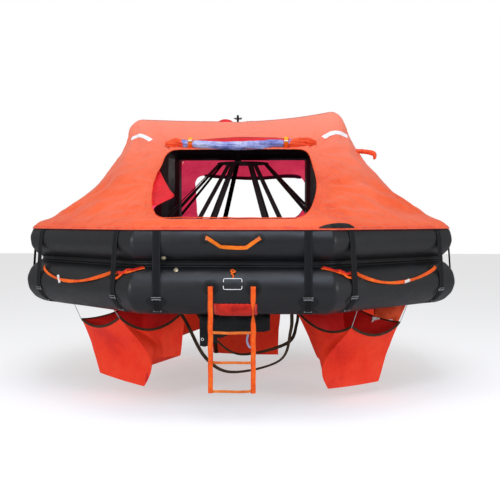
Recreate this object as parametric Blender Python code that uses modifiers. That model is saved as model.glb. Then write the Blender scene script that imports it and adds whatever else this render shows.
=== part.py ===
"""Davit-launched inflatable life raft: two octagonal buoyancy tubes, an arch and a canopy with
two entrances, a webbing lifting bridle, ballast pockets, a boarding ladder and its gas cylinder.
Metres, +Z up, the front entrance faces -Y. The origin is at the waterline on the raft's axis.
"""

import math

import bmesh
import bpy
import numpy as np
from mathutils import Matrix, Vector
from mathutils.bvhtree import BVHTree

SIDES = 8
TURN = math.pi / SIDES  # from a face's middle to its corner
APOTHEM = 1.70  # raft axis to a tube's centreline, at the middle of a face
LOWER_R = 0.197
UPPER_R = 0.170
DRAUGHT = 0.10  # tube underside to the waterline, where z is 0
SEAT = 0.0004  # gap between touching pieces
TUBE_SEGMENTS = 40
FINE = 96  # sides of a cutter that shapes a seat to a tube

LOWER_Z = LOWER_R - DRAUGHT
UPPER_Z = LOWER_Z + LOWER_R + UPPER_R + SEAT

FLOOR_TOP = 0.065 - DRAUGHT
FLOOR_BOTTOM = 0.006 - DRAUGHT
THWART_R = 0.150
ARCH_R = 0.175
ARCH_LEG_X = 0.775
ARCH_Z = 1.485 - DRAUGHT
ARCH_CORNER = 0.19

WEB = 0.0034  # webbing thickness
WEB_WIDTH = 0.062
FABRIC = 0.006  # canopy wall
HEM_ANGLE = math.radians(31)  # canopy edge on the upper tube, above its middle
GUSSET_RISE = 0.0010  # a gusset's face above the straps that it joins
HEM_GAP = WEB + GUSSET_RISE + 3 * SEAT  # the hem passes over the corner straps
LEAVE_ANGLE = math.radians(68)  # where the canopy leaves the tube
OVER_ARCH = 0.022  # least height of the canopy's middle surface above the arch
CREST_Z = 1.685 - DRAUGHT
CREST_HALF = 1.045
CREST_LEAN = -0.065  # the ridge stands a little to the raft's left
CREST_CORNER = 0.13
CREST_DROP = 0.16
CREST_RISE_LEFT = 0.022  # the ridge's ends stand above its middle
CREST_RISE_RIGHT = 0.090
ENTRY_TOP = 1.37 - DRAUGHT
ENTRY_SILL = 0.742 - DRAUGHT
ENTRY_LEAN = -0.025  # the entrances' middle, from the raft's
ENTRY_CORNERS = (  # half widths, heights and roundings, from the top down
    (0.62, ENTRY_TOP, 0.10),
    (0.71, (ENTRY_TOP + ENTRY_SILL) / 2 - 0.05, 0.13),
    (0.60, ENTRY_SILL, 0.14),
)

STRAP_OFF_CORNER = 0.13  # each tube strap from its corner, along the face
SLING_X = -0.05
LEG_SPREAD = math.radians(5.5)  # a bridle leg from its corner's direction
LEG_FOOT = 1.44  # where a leg meets the floor, from the axis
LEG_TAB = 0.070  # its foot, sewn flat on the floor
ROLL_R = 0.047
ROLL_LIFT = 0.0465  # a roll's middle above the canopy's outer face
TIE_GAP = 0.0009  # curtain ties round the rolls
TIE_HALF = 0.021
HUB_R = 0.250
HUB_T = 0.012
HUB_TOP = ARCH_Z - ARCH_R - 0.024
HUB_WIDTH = 0.044  # a strap's width where it is sewn to the hub
EYE_Z = CREST_Z + 0.038
EYE_R = 0.0095
LUG_TOP = EYE_Z + 0.024

LADDER_X = 0.161
LADDER_TOP = 0.224 - DRAUGHT
LADDER_LOW = -0.573 - DRAUGHT
RUNG_HEIGHTS = (-0.113 - DRAUGHT, -0.337 - DRAUGHT, -0.555 - DRAUGHT)
RUNG_R = 0.011
LADDER_WEB = 0.0375
LADDER_BAR_R = 0.004
BAR_GAP = 0.0006
BAR_OUT = 0.017  # ladder bar, out from the tube

POCKET_RADIUS = 1.22
POCKET_SHIFT = 0.12  # the corner pockets hang outboard of their faces' middles
POCKET_TOP = FLOOR_BOTTOM - 0.0011
POCKET_LOW = -0.70 - DRAUGHT
MIDDLE_LOW = -0.60 - DRAUGHT
POCKET_WALL = 0.006
INLET = 0.034  # height of the water inlets under a pocket's rim
TAB = 0.055  # sewn corner tabs between the inlets

GRAB_R = 0.0085
GRAB_STEPS = 24
RIGHTING_R = 0.012

BLACK_RUBBER = ((0.012, 0.013, 0.016, 1), 0.55, 0.0)
ORANGE_FABRIC = ((0.85, 0.16, 0.05, 1), 0.6, 0.0)
RED_FABRIC = ((0.62, 0.02, 0.02, 1), 0.65, 0.0)
BLACK_WEB = ((0.014, 0.013, 0.013, 1), 0.75, 0.0)
ORANGE_WEB = ((0.90, 0.17, 0.02, 1), 0.65, 0.0)
BROWN_WEB = ((0.045, 0.032, 0.024, 1), 0.8, 0.0)
BLUE_CLOTH = ((0.18, 0.20, 0.50, 1), 0.6, 0.0)
GREY_FLOOR = ((0.06, 0.065, 0.075, 1), 0.6, 0.0)
STEEL = ((0.62, 0.62, 0.62, 1), 0.3, 1.0)
BRASS = ((0.72, 0.55, 0.28, 1), 0.35, 1.0)
PLATE = ((0.02, 0.022, 0.025, 1), 0.45, 0.0)

for old in list(bpy.data.objects):
    bpy.data.objects.remove(old, do_unlink=True)
parts = bpy.data.collections.new("life_raft")
cutters = bpy.data.collections.new("life_raft_cutters")
bpy.context.scene.collection.children.link(parts)
bpy.context.scene.collection.children.link(cutters)


def material(name, look):
    colour, rough, metal = look
    mat = bpy.data.materials.new(name)
    mat.use_nodes = True
    shader = mat.node_tree.nodes["Principled BSDF"]
    shader.inputs["Base Color"].default_value = colour
    shader.inputs["Roughness"].default_value = rough
    shader.inputs["Metallic"].default_value = metal
    mat.diffuse_color = colour
    return mat


def add(name, mesh_or_curve, look=None, cutter=False):
    """An object of the part, or a cutter that the build leaves out."""
    obj = bpy.data.objects.new(name, mesh_or_curve)
    if cutter:
        cutters.objects.link(obj)
        obj.hide_render = True
        obj.display_type = "WIRE"
    else:
        parts.objects.link(obj)
        mesh_or_curve.materials.append(material(name, look))
    return obj


def mesh_from(bm, smooth=True, open_sheet=False):
    if not open_sheet:
        bmesh.ops.recalc_face_normals(bm, faces=bm.faces)
        if bm.calc_volume(signed=True) < 0:
            bmesh.ops.reverse_faces(bm, faces=bm.faces)
    mesh = bpy.data.meshes.new("shape")
    bm.to_mesh(mesh)
    bm.free()
    if smooth:
        mesh.shade_smooth()
        mesh.set_sharp_from_angle(angle=math.radians(40))
    return mesh


def box(low, high):
    bm = bmesh.new()
    bmesh.ops.create_cube(bm, size=1)
    middle = [(a + b) / 2 for a, b in zip(low, high, strict=True)]
    size = [b - a for a, b in zip(low, high, strict=True)]
    bmesh.ops.scale(bm, vec=size, verts=bm.verts)
    bmesh.ops.translate(bm, vec=middle, verts=bm.verts)
    return mesh_from(bm, smooth=False)


def rod(radius, start, end, sides=20):
    """A closed cylinder between two points."""
    start, end = Vector(start), Vector(end)
    bm = bmesh.new()
    bmesh.ops.create_cone(
        bm, cap_ends=True, segments=sides, radius1=radius, radius2=radius, depth=(end - start).length
    )
    turn = (end - start).to_track_quat("Z", "Y").to_matrix().to_4x4()
    bm.transform(Matrix.Translation((start + end) / 2) @ turn)
    return mesh_from(bm)


def boolean(obj, other, operation="DIFFERENCE"):
    mod = obj.modifiers.new(other.name, "BOOLEAN")
    mod.operation = operation
    mod.solver = "EXACT"
    mod.object = other
    return mod


def turned(name, profile, look, steps=SIDES, start=0.0, closed=False):
    """A Screw about Z. The profile at +X runs down its outer side."""
    mesh = bpy.data.meshes.new(name)
    edges = [(i, i + 1) for i in range(len(profile) - 1)]
    if closed:
        edges.append((len(profile) - 1, 0))
    turn = Matrix.Rotation(start, 4, "Z")
    mesh.from_pydata([turn @ Vector((x, 0, z)) for x, z in profile], edges, [])
    obj = add(name, mesh, look)
    mod = obj.modifiers.new("turn", "SCREW")
    mod.axis = "Z"
    mod.angle = math.tau
    mod.steps = steps
    mod.render_steps = steps
    mod.use_merge_vertices = True
    mod.merge_threshold = 0.00001
    return obj


def swept(name, points, radius, look, sides=2):
    """A round rod along a smooth run of points."""
    curve = bpy.data.curves.new(name, "CURVE")
    curve.dimensions = "3D"
    curve.bevel_depth = radius
    curve.bevel_resolution = sides
    curve.use_fill_caps = True
    line = curve.splines.new("POLY")
    line.points.add(len(points) - 1)
    for point, at in zip(line.points, points, strict=True):
        point.co = (*at, 1)
    return add(name, curve, look)


def as_mesh(obj, look):
    """The curve object as a closed mesh object, so that it can be cut."""
    bpy.context.view_layer.update()
    name, place = obj.name, obj.matrix_world.copy()
    depsgraph = bpy.context.evaluated_depsgraph_get()
    mesh = bpy.data.meshes.new_from_object(obj.evaluated_get(depsgraph))
    bpy.data.objects.remove(obj, do_unlink=True)
    bm = bmesh.new()
    bm.from_mesh(mesh)
    bmesh.ops.remove_doubles(bm, verts=bm.verts, dist=0.00001)
    solid = mesh_from(bm)
    new = add(name, solid, look)
    new.matrix_world = place
    return new


def band(rows):
    """A closed strip from rows of corners, the outer ones first, then the inner ones back."""
    bm = bmesh.new()
    rings = [[bm.verts.new(p) for p in row] for row in rows]
    for a, b in zip(rings, rings[1:], strict=False):
        for k in range(len(a)):
            n = (k + 1) % len(a)
            bm.faces.new((a[k], a[n], b[n], b[k]))
    bm.faces.new(rings[0])
    bm.faces.new(rings[-1][::-1])
    return mesh_from(bm)


def smooth_line(points, count):
    """Points along a Catmull-Rom curve through the given ones."""
    p = [Vector(x) for x in points]
    p = [2 * p[0] - p[1], *p, 2 * p[-1] - p[-2]]
    out = []
    spans = len(p) - 3
    for k in range(count):
        at = k * spans / (count - 1)
        i = min(int(at), spans - 1)
        t = at - i
        a, b, c, d = p[i : i + 4]
        square, cube = 2 * a - 5 * b + 4 * c - d, 3 * b - a - 3 * c + d
        out.append(0.5 * (2 * b + (c - a) * t + square * t**2 + cube * t**3))
    return out


def face_frame(side):
    """Outward normal and along-face direction of one face of the octagon; face 0 is the front."""
    turn = -math.pi / 2 + side * 2 * TURN
    normal = Vector((math.cos(turn), math.sin(turn), 0))
    return normal, Vector((-normal.y, normal.x, 0))


def tubes():
    for name, radius, height in (("lower_tube", LOWER_R, LOWER_Z), ("upper_tube", UPPER_R, UPPER_Z)):
        ring = []
        for k in range(TUBE_SEGMENTS):
            a = math.tau * (k + 0.5) / TUBE_SEGMENTS
            x = (APOTHEM + radius * math.cos(a)) / math.cos(TURN)
            ring.append((x, height - radius * math.sin(a)))
        turned(name, ring, BLACK_RUBBER, start=TURN, closed=True)


def inflated_floor():
    """The double floor, nested against the lower tube's inner side."""
    nest = LOWER_R + 2 * SEAT
    rim = []
    for k in range(9):
        first, last = (math.asin((z - LOWER_Z) / nest) for z in (FLOOR_TOP, FLOOR_BOTTOM))
        a = first + (last - first) * k / 8
        rim.append(((APOTHEM - nest * math.cos(a)) / math.cos(TURN), LOWER_Z + nest * math.sin(a)))
    turned("floor", [(0, FLOOR_TOP), *rim, (0, FLOOR_BOTTOM)], GREY_FLOOR, start=TURN)


def thwart_height():
    return FLOOR_TOP + THWART_R + SEAT


def thwart():
    """The inflated cross seat that carries the arch's feet; its ends fit the side tubes."""
    z = thwart_height()
    seat = add("thwart", rod(THWART_R, (-APOTHEM, 0, z), (APOTHEM, 0, z), 32), BLACK_RUBBER)
    for name, radius, height in (("lower", LOWER_R, LOWER_Z), ("upper", UPPER_R, UPPER_Z)):
        for side in (-1, 1):
            cutter = add(
                f"thwart_end_{name}_{side}",
                rod(radius + SEAT, (side * APOTHEM, -0.5, height), (side * APOTHEM, 0.5, height), FINE),
                cutter=True,
            )
            boolean(seat, cutter)
    trim = add(
        "thwart_trim",
        box((-APOTHEM + 0.12, -0.4, z - 0.4), (APOTHEM - 0.12, 0.4, z + 0.4)),
        cutter=True,
    )
    boolean(seat, trim, "INTERSECT")


def arch():
    """The inflated arch, with its feet shaped to the thwart."""
    base = thwart_height() + 0.05
    top = ARCH_Z
    path = [(-ARCH_LEG_X, 0, base)]
    for side in (-1, 1):
        corner = []
        for k in range(7):
            a = math.pi / 2 * k / 6
            x = side * (ARCH_LEG_X - ARCH_CORNER + ARCH_CORNER * math.cos(a))
            corner.append((x, 0, top - ARCH_CORNER + ARCH_CORNER * math.sin(a)))
        path += corner if side < 0 else corner[::-1]
    path.append((ARCH_LEG_X, 0, base))
    tube = as_mesh(swept("arch_tube", path, ARCH_R, BLACK_RUBBER, 6), BLACK_RUBBER)
    z = thwart_height()
    cutter = add("arch_foot", rod(THWART_R + SEAT, (-1.6, 0, z), (1.6, 0, z), 32), cutter=True)
    boolean(tube, cutter)


def crest_point(x):
    """The canopy's ridge over the arch, at one place across the raft."""
    inner = CREST_HALF - CREST_CORNER
    rise = CREST_RISE_RIGHT if x > 0 else CREST_RISE_LEFT
    top = CREST_Z + rise * min(1.0, (x / inner) ** 2)
    if abs(x) <= inner:
        return Vector((x + CREST_LEAN, 0, top))
    a = math.pi / 2 * (abs(x) - inner) / CREST_CORNER
    reach = inner + CREST_CORNER * math.sin(a)
    return Vector((math.copysign(reach, x) + CREST_LEAN, 0, top - CREST_DROP * (1 - math.cos(a))))


def canopy_grid(cells=(14, 8, 4), rows=12):
    """The front half of the canopy's middle surface, as a grid of points from hem to ridge.
    Between the tube and the ridge it is a stretched membrane, found by relaxing the grid.
    """
    front, diagonal, side = cells
    hem_r = UPPER_R + HEM_GAP + FABRIC / 2
    corner_x = math.tan(TURN)
    runs = [((-1, 0), (-1, -corner_x), side), ((-1, -corner_x), (-corner_x, -1), diagonal)]
    runs += [((-corner_x, -1), (corner_x, -1), front)]
    runs += [((corner_x, -1), (1, -corner_x), diagonal), ((1, -corner_x), (1, 0), side)]
    plan = []
    for (x0, y0), (x1, y1), count in runs:
        plan += [(x0 + (x1 - x0) * k / count, y0 + (y1 - y0) * k / count) for k in range(count)]
    plan.append((1, 0))
    marks = np.cumsum([0, side, diagonal, front, diagonal, side])
    crest_at = np.interp(
        np.arange(len(plan)),
        marks,
        [-CREST_HALF, -CREST_HALF + 0.06, -0.70, 0.70, CREST_HALF - 0.06, CREST_HALF],
    )
    hem_steps = 7
    clear = ARCH_R + OVER_ARCH
    grid = np.zeros((len(plan), hem_steps + rows + 1, 3))
    for i, (px, py) in enumerate(plan):
        for j in range(hem_steps):
            a = HEM_ANGLE + (LEAVE_ANGLE - HEM_ANGLE) * j / (hem_steps - 1)
            out = APOTHEM + hem_r * math.cos(a)
            grid[i, j] = (px * out, py * out, UPPER_Z + hem_r * math.sin(a))
        ridge = crest_point(crest_at[i])
        ridge.y = -SEAT
        over = ridge + Vector((0, -0.075, -0.012))
        start = Vector(grid[i, hem_steps - 1])
        for j in range(hem_steps, hem_steps + rows):
            t = (j - hem_steps + 1) / rows
            grid[i, j] = start.lerp(over, t)
        grid[i, -1] = ridge
    grid[0, :, 1] = grid[-1, :, 1] = -SEAT
    low, high = hem_steps, hem_steps + rows - 1
    for _ in range(400):
        middle = grid[:, low:high]
        around = np.concatenate([middle[1:2], middle, middle[-2:-1]])
        across = (around[:-2] + around[2:]) / 2
        along = (grid[:, low - 1 : high - 1] + grid[:, low + 1 : high + 1]) / 2
        grid[:, low:high] = 0.45 * across + 0.55 * along
        span = clear**2 - grid[:, low:high, 1] ** 2
        over_arch = (span > 0) & (np.abs(grid[:, low:high, 0]) < ARCH_LEG_X)
        arch_z = np.where(over_arch, ARCH_Z + np.sqrt(np.maximum(span, 0)), -1)
        grid[:, low:high, 2] = np.maximum(grid[:, low:high, 2], arch_z)
        grid[0, :, 1] = grid[-1, :, 1] = -SEAT
    return grid


def canopy_sheet(cells, rows, rear=False):
    grid = canopy_grid(cells, rows)
    bm = bmesh.new()
    flip = -1 if rear else 1
    verts = [[bm.verts.new((p[0], p[1] * flip, p[2])) for p in line] for line in grid]
    for a, b in zip(verts, verts[1:], strict=False):
        for j in range(len(a) - 1):
            bm.faces.new((a[j], b[j], b[j + 1], a[j + 1]))
    bmesh.ops.recalc_face_normals(bm, faces=bm.faces)
    up = sum((f.normal.z * f.calc_area() for f in bm.faces), 0.0)
    if up < 0:
        bmesh.ops.reverse_faces(bm, faces=bm.faces)
    return bm


def entry_cutter(name, side):
    """A rounded entrance, wider at its middle, cut straight along Y."""
    outline = []
    ring = [Vector((ENTRY_LEAN + x, 0, z)) for x, z, _ in ENTRY_CORNERS]
    ring += [Vector((ENTRY_LEAN - x, 0, z)) for x, z, _ in ENTRY_CORNERS[::-1]]
    radii = [r for _, _, r in ENTRY_CORNERS + ENTRY_CORNERS[::-1]]
    for k, point in enumerate(ring):
        before, after = ring[k - 1], ring[(k + 1) % len(ring)]
        to_before, to_after = (before - point).normalized(), (after - point).normalized()
        start, end = point + to_before * radii[k], point + to_after * radii[k]
        for s in range(6):
            t = s / 5
            outline.append(start.lerp(point, t).lerp(point.lerp(end, t), t))
    bm = bmesh.new()
    near = [bm.verts.new((p.x, side * 0.40, p.z)) for p in outline]
    far = [bm.verts.new((p.x, side * 2.4, p.z)) for p in outline]
    bm.faces.new(near)
    bm.faces.new(far[::-1])
    for k in range(len(outline)):
        m = (k + 1) % len(outline)
        bm.faces.new((near[k], far[k], far[m], near[m]))
    return add(name, mesh_from(bm, smooth=False), cutter=True)


def canopy():
    low, high = (SLING_X - 0.04, -0.045, ARCH_Z), (SLING_X + 0.04, 0.045, ARCH_Z + 0.4)
    slot = add("ridge_slot", box(low, high), cutter=True)
    for name, side in (("canopy_front", -1), ("canopy_rear", 1)):
        sheet = canopy_sheet((14, 8, 4), 12, rear=side > 0)
        shell = add(name, mesh_from(sheet, open_sheet=True), ORANGE_FABRIC)
        wall = shell.modifiers.new("wall", "SOLIDIFY")
        wall.thickness = FABRIC
        wall.offset = 0
        wall.use_even_offset = True
        boolean(shell, entry_cutter(f"{name}_entry", side))
        boolean(shell, slot)
        low, high = sorted((side * SEAT / 2, -side * 0.5))
        beyond = add(f"{name}_seam", box((-3, low, 0), (3, high, 3)), cutter=True)
        boolean(shell, beyond)


def canopy_tree():
    """The canopy's outer face, for seating what lies on it; front half."""
    bm = canopy_sheet((14, 8, 4), 12)
    tree = BVHTree.FromBMesh(bm)
    bm.free()
    return tree


def on_canopy(tree, x, y, lift):
    """A point lift above the canopy's outer face, and the face's normal there."""
    place, normal, _, _ = tree.ray_cast(Vector((x, -abs(y), 3)), Vector((0, 0, -1)))
    if normal.z < 0:
        normal = -normal
    point = place + normal * (FABRIC / 2 + lift)
    if y > 0:
        point.y, normal.y = -point.y, -normal.y
    return point, normal


def roll_point(tree, side, x):
    """The middle of a rolled curtain, which sags a little down the roof between its ties."""
    y = side * (0.545 + 0.035 * (1 - (x / 0.60) ** 2))
    return on_canopy(tree, x, y, ROLL_LIFT)


def curtains(tree):
    """Each entrance's door curtain, rolled up and tied above the opening."""
    for name, side in (("front", -1), ("rear", 1)):
        line = [roll_point(tree, side, -0.60 + 0.10 * k)[0] for k in range(13)]
        swept(f"curtain_roll_{name}", line, ROLL_R, BLUE_CLOTH, 3)
        for k, x in ((1, 2), (2, 10)):
            centre, normal = line[x], roll_point(tree, side, -0.60 + 0.10 * x)[1]
            along = (line[x + 1] - line[x - 1]).normalized()
            normal = (normal - along * normal.dot(along)).normalized()
            down = along.cross(normal)
            down *= math.copysign(1, down.y * side)
            rows = []
            for s in range(21):
                a = math.radians(-35 + 250 * s / 20)
                ray = normal * math.sin(a) - down * math.cos(a)
                outer = centre + ray * (ROLL_R + TIE_GAP + 0.004)
                inner = centre + ray * (ROLL_R + TIE_GAP)
                across = along * TIE_HALF
                rows.append((outer - across, outer + across, inner + across, inner - across))
            add(f"curtain_tie_{name}_{k}", band(rows), ORANGE_WEB)


def tube_wrap(first, last, radius, height):
    """Places on a tube's outside, a facet apart and counted from its middle upwards:
    (distance out from the axis, height, and the outward direction's two shares)."""
    out = []
    for k in range(round(first - last) + 1):
        a = math.tau * (first - k + 0.5) / TUBE_SEGMENTS
        reach = radius + SEAT
        nx, nz = math.cos(a), math.sin(a)
        out.append((APOTHEM + reach * nx, height + reach * nz, nx, nz))
    return out


def tube_strap(name, side, hand):
    """One strap down a face beside its corner, over both tubes and taut across their crease."""
    normal, along = face_frame(side)
    middle = APOTHEM * math.tan(TURN) - STRAP_OFF_CORNER
    rows = []
    places = tube_wrap(6, 0, UPPER_R, UPPER_Z) + tube_wrap(0, -8, LOWER_R, LOWER_Z)
    for out, z, nx, nz in places:
        corners = []
        for lift, edge in ((WEB, -1), (WEB, 1), (0, 1), (0, -1)):
            across = along * (hand * middle + edge * WEB_WIDTH / 2)
            corners.append(normal * (out + nx * lift) + across + Vector((0, 0, z + nz * lift)))
        rows.append(corners)
    return add(name, band(rows), cutter=True)


def corner_straps():
    """A pair of webbing straps at each corner, which lash the tubes together, joined by a gusset."""
    middle = APOTHEM * math.tan(TURN) - STRAP_OFF_CORNER
    wrap = tube_wrap(5.7, 3.7, UPPER_R, UPPER_Z)
    for k in range(SIDES):
        rows = []
        for face, fixed, slope in ((k, middle, 0), (k, 0, math.tan(TURN)), ((k + 1) % SIDES, -middle, 0)):
            normal, along = face_frame(face)
            corners = []
            for lift, places in ((WEB + GUSSET_RISE, wrap), (GUSSET_RISE, wrap[::-1])):
                for out, z, nx, nz in places:
                    reach = out + nx * lift
                    across = along * (fixed + slope * reach)
                    corners.append(normal * reach + across + Vector((0, 0, z + nz * lift)))
            rows.append(corners)
        pair = add(f"corner_strap_{k + 1}", band(rows), BLACK_WEB)
        boolean(pair, tube_strap(f"strap_right_{k + 1}", k, 1), "UNION")
        boolean(pair, tube_strap(f"strap_left_{k + 1}", (k + 1) % SIDES, -1), "UNION")


def bridle_leg(name, angle):
    """One lifting strap from the hub down to the floor, its foot turned out flat."""
    out_way = Vector((math.cos(angle), math.sin(angle), 0))
    along = Vector((-out_way.y, out_way.x, 0))
    hub = (HUB_R - 0.012, HUB_TOP - HUB_T / 2 - WEB / 2)
    foot = (LEG_FOOT, FLOOR_TOP + SEAT)
    slope = Vector((foot[0] - hub[0], foot[1] - hub[1])).normalized()
    rows = []
    turns = [(hub, (-slope.y, slope.x)), (foot, (-slope.y * 0.9, 0.9))]
    turns.append(((LEG_FOOT + LEG_TAB, foot[1]), (0, 1)))
    for (out, z), (nx, nz) in turns:
        share = min(1.0, (out - hub[0]) / 0.9)
        half = (HUB_WIDTH + (WEB_WIDTH - HUB_WIDTH) * share) / 2
        corners = []
        for lift, hand in ((WEB, -1), (WEB, 1), (0, 1), (0, -1)):
            place = out_way * (out + nx * lift) + along * (hand * half)
            corners.append(place + Vector((0, 0, z + nz * lift)))
        rows.append(corners)
    return add(name, band(rows), cutter=True)


def bridle():
    """Two lifting straps to each corner of the floor, sewn to the hub under the arch."""
    top, low = HUB_TOP, HUB_TOP - HUB_T
    hub = [(0, top), (HUB_R - 0.01, top), (HUB_R, top - 0.003), (HUB_R, low), (0, low)]
    whole = turned("lifting_bridle", hub, BLACK_WEB, steps=32)
    for k in range(SIDES):
        for hand in (-1, 1):
            angle = TURN * (2 * k + 1) + hand * LEG_SPREAD
            boolean(whole, bridle_leg(f"leg_{k}_{hand}", angle), "UNION")


def sling():
    """The sling round the arch, from the hub up to the lifting eye above the ridge."""
    z = HUB_TOP
    inner = ARCH_R + SEAT * 2
    outer = inner + 0.004
    x = SLING_X
    ring = rod(outer, (x - 0.03, 0, ARCH_Z), (x + 0.03, 0, ARCH_Z), 48)
    sling = add("lifting_sling", ring, BLACK_WEB)
    foot_top = ARCH_Z - ARCH_R - 0.001
    foot = box((x - 0.03, -0.04, z + SEAT), (x + 0.03, 0.04, foot_top))
    foot = add("sling_foot", foot, cutter=True)
    head_low = ARCH_Z + ARCH_R + 0.001  # inside the ring, so that the lug grows out of it
    head = box((x - 0.009, -0.030, head_low), (x + 0.009, 0.030, LUG_TOP))
    head = add("sling_head", head, cutter=True)
    boolean(sling, foot, "UNION")
    boolean(sling, head, "UNION")
    core = rod(inner, (x - 0.2, 0, ARCH_Z), (x + 0.2, 0, ARCH_Z), 48)
    core = add("sling_core", core, cutter=True)
    eye = rod(EYE_R, (x - 0.1, 0, EYE_Z), (x + 0.1, 0, EYE_Z), 24)
    eye = add("sling_eye", eye, cutter=True)
    boolean(sling, core)
    boolean(sling, eye)


def shackle():
    """The lifting shackle, lying back over the ridge; its pin turns in the eye."""
    pin_r, bow_r, half = 0.0085, 0.007, 0.028
    x = SLING_X
    path = [(x - half, 0, EYE_Z)]
    path += [
        (x - half * math.cos(math.pi * k / 12), 0.075 + half * math.sin(math.pi * k / 12), EYE_Z)
        for k in range(13)
    ]
    path.append((x + half, 0, EYE_Z))
    bow = as_mesh(swept("lifting_shackle", path, bow_r, STEEL, 3), STEEL)
    reach = half + 0.012
    pin = rod(pin_r, (x - reach, 0, EYE_Z), (x + reach, 0, EYE_Z), 24)
    pin = add("shackle_pin", pin, cutter=True)
    boolean(bow, pin, "UNION")


def ladder():
    """Webbing sides that turn on bars at the lower tube, and three rungs."""
    bar_y = -(APOTHEM + LOWER_R + BAR_OUT)
    eye_in = LADDER_BAR_R + BAR_GAP
    eye_out = eye_in + 0.0040
    half = LADDER_WEB / 2
    for tag, x in (("left", -LADDER_X), ("right", LADDER_X)):
        strap = add(
            f"ladder_strap_{tag}",
            rod(eye_out, (x - half, bar_y, LADDER_TOP), (x + half, bar_y, LADDER_TOP), 20),
            ORANGE_WEB,
        )
        leg = add(
            f"leg_{tag}",
            box((x - half, bar_y - eye_out, LADDER_LOW), (x + half, bar_y - eye_out + 0.004, LADDER_TOP)),
            cutter=True,
        )
        hole = add(
            f"hole_{tag}",
            rod(eye_in, (x - 0.1, bar_y, LADDER_TOP), (x + 0.1, bar_y, LADDER_TOP), 20),
            cutter=True,
        )
        boolean(strap, leg, "UNION")
        boolean(strap, hole)
        bar_half = half + 0.006
        bar_end = bar_half + 0.004
        anchor = add(
            f"ladder_anchor_{tag}",
            rod(LADDER_BAR_R, (x - bar_end, bar_y, LADDER_TOP), (x + bar_end, bar_y, LADDER_TOP)),
            STEEL,
        )
        for hand in (-1, 1):
            ear = add(
                f"ear_{tag}_{hand}",
                box(
                    (x + hand * (bar_half + 0.002) - 0.002, bar_y - 0.006, LADDER_TOP - 0.006),
                    (x + hand * (bar_half + 0.002) + 0.002, -APOTHEM - 0.1, LADDER_TOP + 0.006),
                ),
                cutter=True,
            )
            boolean(anchor, ear, "UNION")
        pad_r = LOWER_R + SEAT
        a = math.asin((LADDER_TOP - LOWER_Z) / LOWER_R)
        base = add(
            f"pad_{tag}",
            box(
                (x - bar_half - 0.008, -(APOTHEM + LOWER_R + 0.004), LADDER_TOP - 0.035),
                (x + bar_half + 0.008, -(APOTHEM + LOWER_R * math.cos(a) - 0.06), LADDER_TOP + 0.035),
            ),
            cutter=True,
        )
        boolean(anchor, base, "UNION")
        tube = add(
            f"pad_seat_{tag}",
            rod(pad_r, (x - 0.2, -APOTHEM, LOWER_Z), (x + 0.2, -APOTHEM, LOWER_Z), FINE),
            cutter=True,
        )
        boolean(anchor, tube)
    rung_y = bar_y - eye_out - SEAT - RUNG_R
    for k, z in enumerate(RUNG_HEIGHTS):
        reach = LADDER_X + half
        rung = rod(RUNG_R, (-reach, rung_y, z), (reach, rung_y, z), 12)
        add(f"ladder_rung_{k + 1}", rung, ORANGE_WEB)


def pockets():
    """Water ballast pockets under the floor: open-topped fabric bags hung by their rims."""
    corners = [("front_left", 7, -1), ("front_right", 1, 1)]
    corners += [("rear_right", 3, -1), ("rear_left", 5, 1)]
    for name, side, outboard in corners:
        face = face_frame(side)
        centre = face[0] * POCKET_RADIUS + face[1] * (outboard * POCKET_SHIFT)
        pocket(f"ballast_pocket_{name}", centre, face, (0.48, 0.28), (0.31, 0.16), POCKET_LOW)
    face = face_frame(4)
    pocket("ballast_pocket_middle", face[0] * 0.25, face, (0.34, 0.24), (0.30, 0.17), MIDDLE_LOW)


def pocket(name, centre, face, rim, base, low):
    """A tapered bag, rim and base as half widths along the face and across it."""
    normal, along = face
    top = POCKET_TOP
    rings = []
    for t in (0.0, 0.35, 1.0):
        bulge = 1 - t**1.5
        z = top + (low - top) * t
        w, d = (b + (r - b) * bulge for r, b in zip(rim, base, strict=True))
        rings.append([(-w, -d, z), (w, -d, z), (w, d, z), (-w, d, z)])
    bm = bmesh.new()
    place = Matrix((along, -normal, Vector((0, 0, 1)))).transposed().to_4x4()
    place.translation = centre
    rows = [[bm.verts.new(place @ Vector(p)) for p in ring] for ring in rings]
    for a, b in zip(rows, rows[1:], strict=False):
        for k in range(4):
            bm.faces.new((a[k], a[(k + 1) % 4], b[(k + 1) % 4], b[k]))
    bm.faces.new(rows[-1])
    bmesh.ops.recalc_face_normals(bm, faces=bm.faces)
    obj = add(name, mesh_from(bm, smooth=False, open_sheet=True), RED_FABRIC)
    wall = obj.modifiers.new("wall", "SOLIDIFY")
    wall.thickness = POCKET_WALL
    wall.offset = 0
    wall.use_even_offset = True
    for tag, w, d in (("along", rim[0] - TAB, rim[1] + TAB), ("across", rim[0] + TAB, rim[1] - TAB)):
        inlet = box((-w, -d, top - INLET), (w, d, top + INLET))
        inlet.transform(place)
        boolean(obj, add(f"{name}_inlet_{tag}", inlet, cutter=True))


def gas_cylinder():
    """The inflation cylinder under the front of the raft, held by two bands, behind its cover."""
    r, half = 0.080, 0.27
    y = -1.42
    z = FLOOR_BOTTOM - r - SEAT
    add("gas_cylinder", rod(r, (-half, y, z), (half, y, z), 24), STEEL)
    for tag, x in (("left", -0.16), ("right", 0.16)):
        band_end = 0.02
        bandage = rod(r + 0.006, (x - band_end, y, z), (x + band_end, y, z), 32)
        bandage = add(f"cylinder_band_{tag}", bandage, BLACK_WEB)
        core = rod(r + SEAT, (x - 0.1, y, z), (x + 0.1, y, z), 32)
        core = add(f"band_core_{tag}", core, cutter=True)
        roof = add(
            f"band_roof_{tag}",
            box((x - 0.1, y - 0.2, FLOOR_BOTTOM - SEAT), (x + 0.1, y + 0.2, FLOOR_BOTTOM + 0.2)),
            cutter=True,
        )
        boolean(bandage, core)
        boolean(bandage, roof)


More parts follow.
